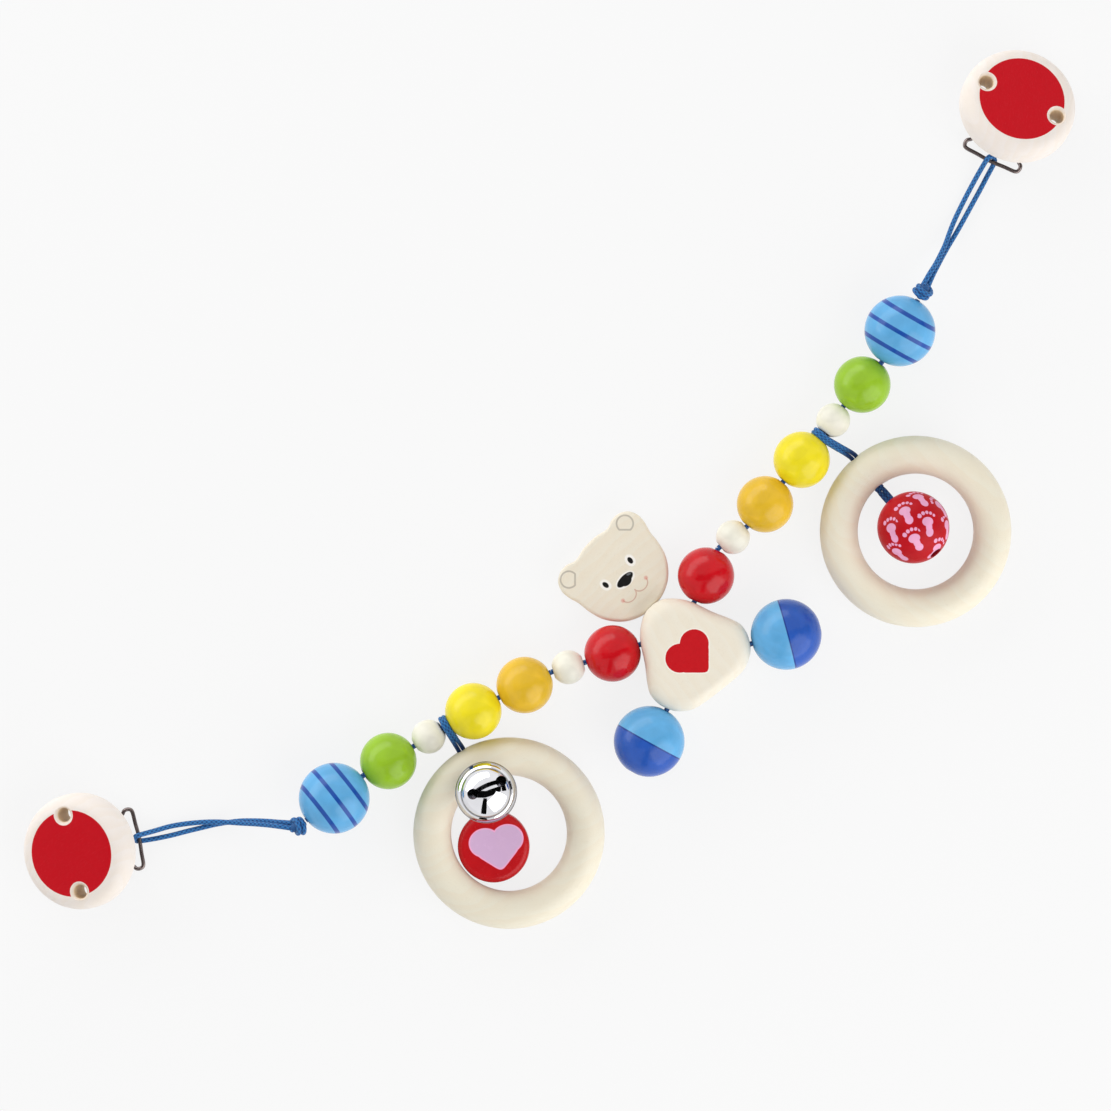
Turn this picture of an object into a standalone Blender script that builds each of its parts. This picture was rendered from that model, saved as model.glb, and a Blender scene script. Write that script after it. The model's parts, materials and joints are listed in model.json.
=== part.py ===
"""Pram chain toy: a wooden bear between two strings of beads, with two teething rings and two sprung clips.

The toy lies on its back on z = 0 and is seen from above, in metres. The origin is the middle of the bear
body's flat back, +X runs to the right and +Y up the picture. Each moving piece hangs from an empty that
stands on its joint, with the empty's Z along the joint's axis.
"""

from math import asin, atan2, cos, pi, radians, sin, sqrt

import bmesh
import bpy
from mathutils import Matrix, Vector
from mathutils.geometry import interpolate_bezier

# Beads, from the bear outwards
SMALL_RADIUS = 0.006
MEDIUM_RADIUS = 0.010
BIG_RADIUS = 0.0125
MOUTH_ROUNDING = 0.0006

# Cord: two strands side by side through every bore
STRAND_RADIUS = 0.0009
STRAND_PITCH_SHARE = 0.95
BORE_CLEARANCE = 0.0003
CORD_SETBACK = 0.0005
KNOT_RADIUS = 0.0028
KNOT_LENGTH_SHARE = 1.15

# Room between neighbours along the string
SNUG_GAP = 0.0003
SLACK_GAP = 0.0007
WIDE_GAP = 0.0011
BODY_GAP = 0.0005
TAB_GAP = {"left": 0.0022, "right": 0.0019}
TAB_PIVOT_GAP = 0.00015
SEAT_GAP = 0.0003

# Bear
BODY_HEADING = 128
BODY_LENGTH = 0.0384
BODY_WIDTH = 0.0402
BODY_THICKNESS = 0.020
BODY_EDGE = 0.006
ORIGIN_SHARE = 0.413
SHOULDER_SHARE = 0.78
HIP_SHARE = 0.167
HIP_BEND_SHARE = 0.92
FOOT_SPREAD = 67
FOOT_GAP = 0.0007
FOOT_CORD_DEPTH = 0.0012
HEAD_HEADING = 135
NECK_HEADING = 136
HEAD_WIDTH = 0.0381
HEAD_HEIGHT = 0.0323
HEAD_THICKNESS = 0.010
HEAD_EDGE = 0.0016
HEAD_MIDDLE_SHARE = 0.53
HEAD_OVERLAP = 0.0006
CHIN_CLEARANCE = 0.0006
DOWEL_RADIUS = 0.002
DOWEL_LENGTH = 0.016

# Half outlines, as shares of the length from the lower end and of half the width
BODY_OUTLINE_SHARES = (
    (0.0, 0.22), (0.01, 0.5), (0.045, 0.68), (0.12, 0.86), (0.24, 0.98), (0.36, 1.0),
    (0.47, 0.91), (0.62, 0.74), (0.78, 0.59), (0.88, 0.45), (0.96, 0.27), (0.995, 0.1),
)
HEAD_OUTLINE_SHARES = (
    (0.0, 0.1), (0.02, 0.3), (0.082, 0.52), (0.18, 0.7), (0.311, 0.84), (0.464, 0.91), (0.596, 0.935),
    (0.716, 0.99), (0.82, 1.0), (0.92, 0.93), (0.982, 0.77), (0.987, 0.59), (0.955, 0.41), (0.985, 0.15),
)

# Teething rings and what hangs in them
RING_CENTRE_RADIUS = 0.0271
RING_SECTION_RADIUS = 0.0067
TAB_REACH = {"left": 0.0102, "right": 0.0135}
RING_HEADING = {"left": -59.7, "right": -45.1}
BORE_HEADING = {"left": -60, "right": -50}
TAB_PLACE_SHARE = 0.42
TAB_PINCH_SHARE = 0.55
BALL_RADIUS = 0.0127
BALL_OFFSET = 0.0018
COIN_RADIUS = 0.0127
COIN_THICKNESS = 0.0096
COIN_EDGE = 0.0024
COIN_REST_HEADING = 221.2
COIN_WALL_GAP = 0.0005
BELL_RADIUS = 0.0103
BELL_WALL = 0.0006
BELL_SEAM = 0.0005
BELL_HEIGHT_OVER_CORD = 0.0139
BELL_INSET = 0.0034
BELL_SIDE_STEP = 0.0007
BELL_SLOT_HEADING = 23
BELL_SLOT_SPAN = 0.0108
BELL_SLOT_WIDTH = 0.0013
BELL_SLOT_ALONG = 0.0012
BELL_SLOT_ACROSS = 0.0020
BELL_EYE_RADIUS = 0.0019
CORD_ARCH = 0.0032
SHANK_WIRE = 0.0007
CLAPPER_RADIUS = 0.0026

# Clips, along the clip from the cord's bar to the jaw
CORD_REACH = {"left": 0.0572, "right": 0.0529}
CORD_HEADING = {"left": 184.6, "right": 62.4}
CLIP_HEADING = {"left": 192, "right": 64}
BAR_WIDTH = 0.0226
BAR_RADIUS = 0.00065
BAR_HEIGHT = 0.0031
BAR_BOW = 0.0006
PLATE_WIDTH = 0.020
PLATE_START = 0.0066
PLATE_END = 0.0385
SHEET = 0.001
TOOTH_COUNT = 5
TOOTH_DEPTH = 0.0014
EAR_LENGTH = 0.0064
EAR_RISE = 0.0024
PIN_PLACE = 0.0181
PIN_HEIGHT = 0.0050
PIN_RADIUS = 0.0012
PIN_HEAD_RADIUS = 0.0019
PIN_HEAD = 0.0007
LEVER_TILT = 20
LEVER_WIDTH = 0.0170
LEVER_LIFT = 0.0030
LEVER_THUMB = 0.0165
SPRING_WIRE = 0.0004
SPRING_RADIUS = 0.0021
SPRING_PITCH = 0.00135
SPRING_TURNS = 4
SPRING_ARM = 0.0095
DISC_RADIUS = 0.0205
DISC_FACE_RADIUS = 0.0153
DISC_THICKNESS = 0.0100
DISC_WALL = 0.0030
DISC_BACK_EDGE = 0.0006
VENT_RADIUS = 0.0025
VENT_CHAMFER = 0.0009
VENT_PITCH = 0.0275

# Fineness
CREASE_ANGLE = 40
BEAD_STEPS = 16
HOLE_STEPS = 14
KNOT_STEPS = 12
PAIR_LOBE_REACH = 120
PAIR_LOBE_POINTS = 7
HANDLE_SHARE = 1 / 6
ARC_POINTS = 8
DISC_STEPS = 28
RING_STEPS = 36
SECTION_STEPS = 12
CURL_POINTS = 9
CUT_OVERRUN = 0.002
UP = Vector((0, 0, 1))
MILLIMETRE = 0.001

BEADS = ("red", "white_inner", "amber", "yellow", "white_outer", "green", "striped")
BEAD_RADII = {
    "red": MEDIUM_RADIUS,
    "white_inner": SMALL_RADIUS,
    "amber": MEDIUM_RADIUS,
    "yellow": MEDIUM_RADIUS,
    "white_outer": SMALL_RADIUS,
    "green": MEDIUM_RADIUS,
    "striped": BIG_RADIUS,
}
STRING_HEADINGS = {
    "left": (198, 196, 206, 208, 213, 210, 218),
    "right": (66, 37, 51, 50, 54, 49, 60),
}
STRING_GAPS = {
    "left": (BODY_GAP, SNUG_GAP, SLACK_GAP, SNUG_GAP, TAB_GAP["left"], SLACK_GAP, SLACK_GAP),
    "right": (BODY_GAP, WIDE_GAP, SNUG_GAP, SNUG_GAP, TAB_GAP["right"], SNUG_GAP, SLACK_GAP),
}
# Each strand from the knot to the bar: share of the way, step to the left, share of the knot's height
LOOP_ROUTES = {
    "left": (
        (
            (0.12, -0.0005, 0.97), (0.2, -0.0013, 0.77), (0.28, -0.0019, 0.54), (0.36, -0.0024, 0.35),
            (0.44, -0.0030, 0.23), (0.52, -0.0035, 0.18), (0.6, -0.0037, 0.11), (0.7, -0.0036, 0.04),
            (0.8, -0.0031, 0.03), (0.9, -0.0020, 0.13),
        ),
        (
            (0.12, -0.0019, 0.79), (0.2, -0.0025, 0.59), (0.28, -0.0029, 0.38), (0.36, -0.0031, 0.18),
            (0.44, -0.0029, 0.05), (0.52, -0.0025, 0.0), (0.6, -0.0018, 0.0), (0.7, -0.0009, 0.0),
            (0.8, 0.0001, 0.0), (0.9, 0.0008, 0.0),
        ),
    ),
    "right": (
        (
            (0.12, 0.0008, 0.95), (0.2, 0.0004, 0.77), (0.28, 0.0003, 0.56), (0.36, 0.0004, 0.36),
            (0.44, 0.0009, 0.19), (0.52, 0.0013, 0.08), (0.6, 0.0015, 0.03), (0.7, 0.0016, 0.03),
            (0.8, 0.0016, 0.07), (0.9, 0.0015, 0.17),
        ),
        (
            (0.12, -0.0006, 0.81), (0.2, -0.0006, 0.61), (0.28, -0.0007, 0.40), (0.36, -0.0009, 0.19),
            (0.44, -0.0012, 0.06), (0.52, -0.0014, 0.0), (0.6, -0.0015, 0.0), (0.7, -0.0016, 0.0),
            (0.8, -0.0017, 0.0), (0.9, -0.0017, 0.0),
        ),
    ),
}
LOOP_SIDE = {"left": (-0.0009, 0.0012), "right": (0.0012, -0.0017)}
# The tab's way down to the ring: share of the way, share of the drop that it lies above a straight line
TAB_ROUTE_SHARES = ((0.25, 0.1), (0.5, 0.0), (0.75, -0.1))

# Colours
WOOD = (0.86, 0.80, 0.66)
STEEL = (0.62, 0.62, 0.64)
CORD_BLUE = (0.03, 0.16, 0.42)
BEAD_COLOURS = {
    "red": (0.60, 0.01, 0.02),
    "white_inner": (0.90, 0.88, 0.78),
    "amber": (0.85, 0.36, 0.03),
    "yellow": (0.93, 0.76, 0.02),
    "white_outer": (0.90, 0.88, 0.78),
    "green": (0.24, 0.55, 0.03),
    "striped": (0.10, 0.38, 0.75),
}
FOOT_BLUE = (0.04, 0.13, 0.55)

BORE_RADIUS = STRAND_RADIUS * (1 + STRAND_PITCH_SHARE) + BORE_CLEARANCE
RING_HEIGHT = RING_SECTION_RADIUS
PLACES = {}


def collection(name):
    made = bpy.data.collections.new(name)
    bpy.context.scene.collection.children.link(made)
    return made


def clear_scene():
    for obj in list(bpy.data.objects):
        bpy.data.objects.remove(obj, do_unlink=True)


clear_scene()
TOY = collection("pram_chain_toy")
CUTTERS = collection("cutters")


def heading(degrees):
    return Vector((cos(radians(degrees)), sin(radians(degrees)), 0))


def aimed(origin, direction, up=UP):
    """The placement at origin whose Z runs along direction, with its X level."""
    z = direction.normalized()
    x = z.cross(up).normalized()
    y = z.cross(x)
    turned = Matrix((x, y, z)).transposed().to_4x4()
    return Matrix.Translation(origin) @ turned


def finish(obj, colour, roughness=0.35, metallic=0.0):
    """Gives the piece a material of its own."""
    material = bpy.data.materials.new(obj.name + "_finish")
    material.use_nodes = True
    shader = material.node_tree.nodes["Principled BSDF"]
    shader.inputs["Base Color"].default_value = (*colour, 1)
    shader.inputs["Roughness"].default_value = roughness
    shader.inputs["Metallic"].default_value = metallic
    material.diffuse_color = (*colour, 1)
    obj.data.materials.clear()
    obj.data.materials.append(material)


def add(name, data, placement=None, hidden=False):
    """A new object, among the cutters if hidden."""
    obj = bpy.data.objects.new(name, data)
    obj.matrix_world = placement or Matrix.Identity(4)
    (CUTTERS if hidden else TOY).objects.link(obj)
    if hidden:
        obj.hide_render = True
        obj.display_type = "WIRE"
    return obj


def joint(name, parent, pivot, axis):
    """An empty on a joint, its Z along the axis; what it carries is parented to it."""
    empty = bpy.data.objects.new(name, None)
    z = axis.normalized()
    x = z.orthogonal().normalized()
    turned = Matrix((x, z.cross(x), z)).transposed().to_4x4()
    PLACES[name] = Matrix.Translation(pivot) @ turned
    empty.matrix_world = PLACES[name]
    empty.empty_display_size = SMALL_RADIUS
    TOY.objects.link(empty)
    if parent:
        carry(parent, empty)
    return name


def carry(parent, *pieces):
    """Parents pieces to the empty of that name, where they are."""
    for piece in pieces:
        piece.parent = bpy.data.objects[parent]
        piece.matrix_parent_inverse = PLACES[parent].inverted()


def smooth(mesh):
    mesh.shade_smooth()
    mesh.set_sharp_from_angle(angle=radians(CREASE_ANGLE))


def mesh_from(bm, name):
    mesh = bpy.data.meshes.new(name)
    bm.to_mesh(mesh)
    bm.free()
    smooth(mesh)
    return mesh


def turned(name, profile, placement, steps=BEAD_STEPS, hidden=False, closed=True):
    """A profile of (radius, height) turned about Z: outer side from top to bottom, then the bore back up."""
    bm = bmesh.new()
    points = [bm.verts.new((radius, 0, height)) for radius, height in profile]
    pairs = list(zip(points, points[1:])) + ([(points[-1], points[0])] if closed else [])
    for pair in pairs:
        bm.edges.new(pair)
    mesh = bpy.data.meshes.new(name)
    bm.to_mesh(mesh)
    bm.free()
    obj = add(name, mesh, placement, hidden)
    screw = obj.modifiers.new("turn", "SCREW")
    screw.steps = steps
    screw.render_steps = steps
    screw.use_merge_vertices = True
    screw.merge_threshold = 0.00001
    screw.use_smooth_shade = True
    return obj


def rod(name, radius, start, end, steps=BEAD_STEPS, hidden=False):
    """A cylinder from start to end."""
    bm = bmesh.new()
    length = (end - start).length
    bmesh.ops.create_cone(
        bm,
        cap_ends=True,
        segments=steps,
        radius1=radius,
        radius2=radius,
        depth=length,
    )
    way = (end - start).normalized()
    up = UP if way.cross(UP).length > way.cross(heading(0)).length else heading(0)
    return add(name, mesh_from(bm, name), aimed((start + end) / 2, way, up), hidden)


def box(name, low, high, placement, hidden=False):
    """A box between two corners of a placement's own frame."""
    bm = bmesh.new()
    bmesh.ops.create_cube(bm, size=1)
    bmesh.ops.scale(bm, vec=high - low, verts=bm.verts)
    bmesh.ops.translate(bm, vec=(high + low) / 2, verts=bm.verts)
    return add(name, mesh_from(bm, name), placement, hidden)


def boolean(obj, operation, *tools):
    for tool in tools:
        modifier = obj.modifiers.new(tool.name, "BOOLEAN")
        modifier.operation = operation
        modifier.object = tool
        modifier.solver = "EXACT"


def as_mesh(curve, hidden=False):
    """The curve made a mesh with its caps welded, so that it can be cut or joined."""
    bpy.context.view_layer.update()
    graph = bpy.context.evaluated_depsgraph_get()
    mesh = bpy.data.meshes.new_from_object(curve.evaluated_get(graph))
    name, placement = curve.name, curve.matrix_world.copy()
    bpy.data.objects.remove(curve, do_unlink=True)
    bm = bmesh.new()
    bm.from_mesh(mesh)
    bmesh.ops.remove_doubles(bm, verts=bm.verts, dist=0.000001)
    bmesh.ops.recalc_face_normals(bm, faces=bm.faces)
    bm.to_mesh(mesh)
    bm.free()
    smooth(mesh)
    mesh.name = name
    return add(name, mesh, placement, hidden)


def between(before, start, end, after, parts):
    """The points that part a smooth curve's stretch from start to end, without its start."""
    first_handle = start + (end - before) * HANDLE_SHARE
    second_handle = end - (after - start) * HANDLE_SHARE
    return interpolate_bezier(start, first_handle, second_handle, end, parts + 1)[1:]


def along(points, spacing):
    """Points of one smooth curve through these, about a spacing apart."""
    through = [points[0] * 2 - points[1], *points, points[-1] * 2 - points[-2]]
    out = [points[0].copy()]
    for before, start, end, after in zip(through, through[1:], through[2:], through[3:]):
        out += between(before, start, end, after, max(1, round((end - start).length / spacing)))
    return out


def poly_curve(name, points, cyclic=False, flat=False):
    data = bpy.data.curves.new(name, "CURVE")
    data.dimensions = "2D" if flat else "3D"
    spline = data.splines.new("POLY")
    spline.points.add(len(points) - 1)
    for point, place in zip(spline.points, points):
        point.co = (*place, 1)
    spline.use_cyclic_u = cyclic
    return data


def tube(name, points, radius, resolution=2, hidden=False):
    data = poly_curve(name, points)
    data.bevel_depth = radius
    data.bevel_resolution = resolution
    data.use_fill_caps = True
    return add(name, data, hidden=hidden)


def strand_pair_outline():
    """The outline round two strands side by side, across X."""
    half_pitch = STRAND_RADIUS * STRAND_PITCH_SHARE
    reach = radians(PAIR_LOBE_REACH)
    points = []
    for centre, middle in ((half_pitch, 0), (-half_pitch, pi)):
        for index in range(PAIR_LOBE_POINTS):
            angle = middle - reach + 2 * reach * index / (PAIR_LOBE_POINTS - 1)
            points.append(Vector((centre + STRAND_RADIUS * cos(angle), STRAND_RADIUS * sin(angle), 0)))
    return points


PAIR_CURVE = poly_curve("strand_pair_section", strand_pair_outline(), cyclic=True, flat=True)
PAIR_SECTION = add("strand_pair_section", PAIR_CURVE, hidden=True)


def doubled_cord(name, points, first_share=1):
    """Two strands side by side along a route, level across it, drawn in to a share at its first point."""
    data = poly_curve(name, points)
    data.splines[0].points[0].radius = first_share
    data.twist_mode = "Z_UP"
    data.bevel_mode = "OBJECT"
    data.bevel_object = PAIR_SECTION
    data.use_fill_caps = True
    obj = as_mesh(add(name, data))
    finish(obj, CORD_BLUE, roughness=0.7)
    return obj


def bead_profile(radius, bore=None):
    """A ball with a bore along Z, its mouths eased."""
    bore = BORE_RADIUS if bore is None else bore
    edge = asin((bore + MOUTH_ROUNDING) / radius)
    arc = [edge + (pi - 2 * edge) * index / (ARC_POINTS - 1) for index in range(ARC_POINTS)]
    wall = sqrt(radius**2 - (bore + MOUTH_ROUNDING) ** 2) - MOUTH_ROUNDING
    return [(radius * sin(a), radius * cos(a)) for a in arc] + [(bore, -wall), (bore, wall)]


def bead(name, radius, centre, way, colour, roughness=0.2):
    obj = turned(name, bead_profile(radius), aimed(centre, way))
    finish(obj, colour, roughness)
    return obj


def outline_from(shares, length, width, origin_share, toward):
    """A closed outline from half an outline's shares, in the plane, its length running toward a heading."""
    ahead, across = heading(toward), heading(toward - 90)
    half = [((a - origin_share) * length, b * width / 2) for a, b in shares]
    whole = half + [(a, -b) for a, b in reversed(half)]
    corners = [ahead * a + across * b for a, b in whole]
    count = len(corners)
    out = []
    for index in range(count):
        before, start, end, after = (corners[(index + step) % count] for step in (-1, 0, 1, 2))
        out += between(before, start, end, after, 2)
    return out


def rounded_block(name, outline, middle, bottom, thickness, edge, steps, hidden=False):
    """A flat block of this outline, its top and bottom edges rounded over and drawn in to the middle."""
    bm = bmesh.new()
    reach = max((point - middle).length for point in outline)
    face = bm.faces.new([bm.verts.new(point + UP * bottom) for point in outline])

    def shrink(vertices, share):
        bmesh.ops.scale(
            bm, vec=(share, share, 1), verts=vertices, space=Matrix.Translation(-middle)
        )

    levels = []
    for index in range(steps + 1):
        angle = pi / 2 * index / steps
        levels.append((edge * (1 - cos(angle)), 1 - edge * (1 - sin(angle)) / reach))
    levels += [(thickness - height, share) for height, share in reversed(levels)]
    first = levels[0][1]
    shrink(face.verts, first)
    height, share = 0, first
    for next_height, next_share in levels[1:]:
        made = bmesh.ops.extrude_face_region(bm, geom=[face, *face.edges])["geom"]
        face = next(item for item in made if isinstance(item, bmesh.types.BMFace))
        bmesh.ops.translate(bm, vec=(0, 0, next_height - height), verts=face.verts)
        shrink(face.verts, next_share / share)
        height, share = next_height, next_share
    bmesh.ops.recalc_face_normals(bm, faces=bm.faces)
    return add(name, mesh_from(bm, name), hidden=hidden)


BODY_OUTLINE = outline_from(BODY_OUTLINE_SHARES, BODY_LENGTH, BODY_WIDTH, ORIGIN_SHARE, BODY_HEADING)


def on_body_edge(length_share, side):
    """The point of the body's outline at this share of its length, on the left or right side."""
    ahead, across = heading(BODY_HEADING), heading(BODY_HEADING - 90)
    level = (length_share - ORIGIN_SHARE) * BODY_LENGTH
    for start, end in zip(BODY_OUTLINE, BODY_OUTLINE[1:] + BODY_OUTLINE[:1]):
        low, high = start.dot(ahead) - level, end.dot(ahead) - level
        point = start.lerp(end, low / (low - high)) if low * high <= 0 and low != high else None
        if point and point.dot(across) * (1 if side == "right" else -1) > 0:
            return point
    return ahead * level


# Heights of the pivots along a string: level past the medium beads, then up to the big one
RISE = (MEDIUM_RADIUS + BIG_RADIUS) / 2
PIVOT_HEIGHTS = (MEDIUM_RADIUS,) * 5 + (2 * MEDIUM_RADIUS - RISE, RISE, 2 * BIG_RADIUS - RISE)


def string_stations(side):
    """(bead, radius, inner pivot, centre, outer pivot) for each bead, from the bear outwards."""
    gaps = STRING_GAPS[side] + (SNUG_GAP,)
    pivot = on_body_edge(SHOULDER_SHARE, side) + UP * PIVOT_HEIGHTS[0]
    stations = []
    for index, name in enumerate(BEADS):
        radius = BEAD_RADII[name]
        before, after = gaps[index] / 2, gaps[index + 1] / 2
        if name == "red":
            before = gaps[index]
        if name == "yellow":
            after = gaps[index + 1] - TAB_PIVOT_GAP
        if name == "white_outer":
            before = TAB_PIVOT_GAP
        length = before + 2 * radius + after
        rise = PIVOT_HEIGHTS[index + 1] - PIVOT_HEIGHTS[index]
        way = heading(STRING_HEADINGS[side][index]) * sqrt(length**2 - rise**2) + UP * rise
        way.normalize()
        centre = pivot + way * (before + radius)
        stations.append((name, radius, pivot, centre, pivot + way * length))
        pivot = pivot + way * length
    return stations


def side_axis(way):
    """The level direction square to a string: a positive turn about it lifts the string's far end."""
    return way.cross(UP).normalized()


def make_strings(side):
    """The beads of one string, each turning on its stretch of the doubled cord, which bends at each joint."""
    parent = None
    bends_up = True
    for name, radius, inner, centre, outer in string_stations(side):
        way = (outer - inner).normalized()
        axis = side_axis(way) if bends_up else UP
        bend = joint(f"{side}_{name}_bend", parent, inner, axis)
        cord = doubled_cord(f"{side}_{name}_cord", [inner + way * CORD_SETBACK, outer - way * CORD_SETBACK])
        spin = joint(f"{side}_{name}_spin", bend, centre, way)
        ball = bead(f"{side}_{name}_bead", radius, centre, way, BEAD_COLOURS[name])
        carry(bend, cord)
        carry(spin, ball)
        parent = bend
        bends_up = not bends_up
    return parent


def make_bear():
    body = rounded_block("bear_body", BODY_OUTLINE, Vector(), 0, BODY_THICKNESS, BODY_EDGE, 4)
    finish(body, WOOD, roughness=0.45)
    ahead = heading(BODY_HEADING)
    mouths = [on_body_edge(SHOULDER_SHARE, side) + UP * PIVOT_HEIGHTS[0] for side in ("left", "right")]
    across = (mouths[1] - mouths[0]).normalized()
    overrun = across * CUT_OVERRUN
    bore = rod("shoulder_bore", BORE_RADIUS, mouths[0] - overrun, mouths[1] + overrun, hidden=True)
    boolean(body, "DIFFERENCE", bore)
    setback = across * CORD_SETBACK
    doubled_cord("bear_shoulder_cord", [mouths[0] + setback, mouths[1] - setback])

    # The feet's cord runs through the body from one hip to the other
    hips = [on_body_edge(HIP_SHARE, side) + UP * BIG_RADIUS for side in ("left", "right")]
    ways = [heading(BODY_HEADING + 180 - FOOT_SPREAD), heading(BODY_HEADING + 180 + FOOT_SPREAD)]
    inward = abs(hips[0].dot(heading(BODY_HEADING - 90))) / sin(radians(FOOT_SPREAD))
    meeting = hips[0] - ways[0] * inward
    for side, hip, way in zip(("left", "right"), hips, ways):
        deep = meeting - way * BORE_RADIUS
        bore = rod(f"{side}_hip_bore", BORE_RADIUS, deep, hip + way * CUT_OVERRUN, hidden=True)
        boolean(body, "DIFFERENCE", bore)
    bend = [hip.lerp(meeting, HIP_BEND_SHARE) for hip in hips]
    route = [
        hips[0] - ways[0] * CORD_SETBACK,
        bend[0],
        ((bend[0] + bend[1]) / 2 + meeting) / 2,
        bend[1],
        hips[1] - ways[1] * CORD_SETBACK,
    ]
    doubled_cord("bear_hip_cord", route)
    for side, hip, way in zip(("left", "right"), hips, ways):
        make_foot(side, hip, way)

    # The head is a flat plate with its chin let in against the body, on a glued dowel
    neck = ahead * (1 - ORIGIN_SHARE) * BODY_LENGTH
    to_head = heading(NECK_HEADING)
    chin_to_middle = HEAD_MIDDLE_SHARE * HEAD_HEIGHT
    middle = neck + to_head * (chin_to_middle - HEAD_OVERLAP)
    outline = outline_from(HEAD_OUTLINE_SHARES, HEAD_HEIGHT, HEAD_WIDTH, HEAD_MIDDLE_SHARE, HEAD_HEADING)
    head = rounded_block(
        "bear_head", [point + middle for point in outline], middle, 0, HEAD_THICKNESS, HEAD_EDGE, 2
    )
    finish(head, WOOD, roughness=0.45)
    wider = 1 + CHIN_CLEARANCE / (BODY_WIDTH / 2)
    seat = rounded_block(
        "chin_seat",
        [point * wider for point in BODY_OUTLINE],
        Vector(),
        -CUT_OVERRUN,
        BODY_THICKNESS + 2 * CUT_OVERRUN,
        SEAT_GAP,
        1,
        hidden=True,
    )
    boolean(head, "DIFFERENCE", seat)
    joint_point = neck + UP * HEAD_THICKNESS / 2
    half = to_head * DOWEL_LENGTH / 2
    dowel = rod("neck_dowel", DOWEL_RADIUS, joint_point - half, joint_point + half)
    finish(dowel, WOOD, roughness=0.6)
    half += to_head * SEAT_GAP
    hole = rod("dowel_hole", DOWEL_RADIUS + SEAT_GAP, joint_point - half, joint_point + half, hidden=True)
    boolean(head, "DIFFERENCE", hole)
    boolean(body, "DIFFERENCE", hole)


def make_foot(side, hip, way):
    """A foot bead turning on its cord, which swings at the hip."""
    centre = hip + way * (FOOT_GAP + BIG_RADIUS)
    swing = joint(f"{side}_foot_swing", None, hip, UP)
    far = centre + way * (BIG_RADIUS - FOOT_CORD_DEPTH)
    cord = doubled_cord(f"{side}_foot_cord", [hip + way * CORD_SETBACK, far])
    spin = joint(f"{side}_foot_spin", swing, centre, way)
    foot = bead(f"{side}_foot_bead", BIG_RADIUS, centre, way, FOOT_BLUE)
    carry(swing, cord)
    carry(spin, foot)


def ring_with_bore(name, centre, way):
    """A teething ring flat on the table, bored through its wall towards the cord."""
    bm = bmesh.new()
    rows = []
    for step in range(SECTION_STEPS):
        angle = 2 * pi * (step + 0.5) / SECTION_STEPS
        place = (RING_CENTRE_RADIUS + RING_SECTION_RADIUS * cos(angle), 0, RING_SECTION_RADIUS * sin(angle))
        rows.append(bm.verts.new(place))
    edges = [bm.edges.new(pair) for pair in zip(rows, rows[1:] + rows[:1])]
    bmesh.ops.spin(
        bm, geom=rows + edges, axis=UP, cent=(0, 0, 0), angle=2 * pi, steps=RING_STEPS, use_merge=True
    )
    bmesh.ops.recalc_face_normals(bm, faces=bm.faces)
    ring = add(name, mesh_from(bm, name), Matrix.Translation(centre))
    finish(ring, WOOD, roughness=0.5)
    start = centre - way * (RING_CENTRE_RADIUS - RING_SECTION_RADIUS - CUT_OVERRUN)
    end = centre - way * (RING_CENTRE_RADIUS + RING_SECTION_RADIUS + CUT_OVERRUN)
    boolean(ring, "DIFFERENCE", rod(name + "_bore", BORE_RADIUS, start, end, hidden=True))
    return ring


def make_tab(side, parent):
    """The cord loop that hangs a ring from the string, between the yellow and the outer white bead."""
    yellow = next(station for station in string_stations(side) if station[0] == "yellow")
    _, radius, inner, centre, outer = yellow
    way = (outer - inner).normalized()
    hang = centre + way * (radius + TAB_GAP[side] * TAB_PLACE_SHARE)
    out = heading(BORE_HEADING[side])
    ring_outside = RING_CENTRE_RADIUS + RING_SECTION_RADIUS
    reach = heading(RING_HEADING[side]) * (TAB_REACH[side] + ring_outside)
    middle = Vector((hang.x, hang.y, RING_HEIGHT)) + reach
    edge = middle - out * ring_outside
    toward = (edge - hang).normalized()
    lowering = way if way.cross(toward).z < 0 else way * -1
    swing = joint(f"{side}_ring_swing", parent, hang, lowering)

    loop_radius = BORE_RADIUS + STRAND_RADIUS
    square = side_axis(way) * (1 if side_axis(way).dot(toward) > 0 else -1)
    loop_steps = 16
    turns = [2 * pi * step / loop_steps for step in range(loop_steps)]
    circle = [hang + (square * cos(angle) + UP * sin(angle)) * loop_radius for angle in turns]
    data = poly_curve(f"{side}_tab_loop", circle, cyclic=True)
    data.bevel_depth = STRAND_RADIUS
    data.bevel_resolution = 1
    loop = as_mesh(add(f"{side}_tab_loop", data), hidden=True)
    start = hang + square * loop_radius
    end = edge - out * SEAT_GAP
    drop = Vector((0, 0, start.z - end.z))
    ahead = end - out * STRAND_RADIUS
    way_down = [start.lerp(ahead, share) + drop * above for share, above in TAB_ROUTE_SHARES]
    route = [start, *way_down, ahead, end]
    tab = doubled_cord(f"{side}_ring_tab", route, TAB_PINCH_SHARE)
    boolean(tab, "UNION", loop)
    carry(swing, tab)

    turn = joint(f"{side}_ring_turn", swing, middle, out)
    ring = ring_with_bore(f"{side}_teething_ring", middle, out)
    carry(turn, ring)
    return turn, middle, out


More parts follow.
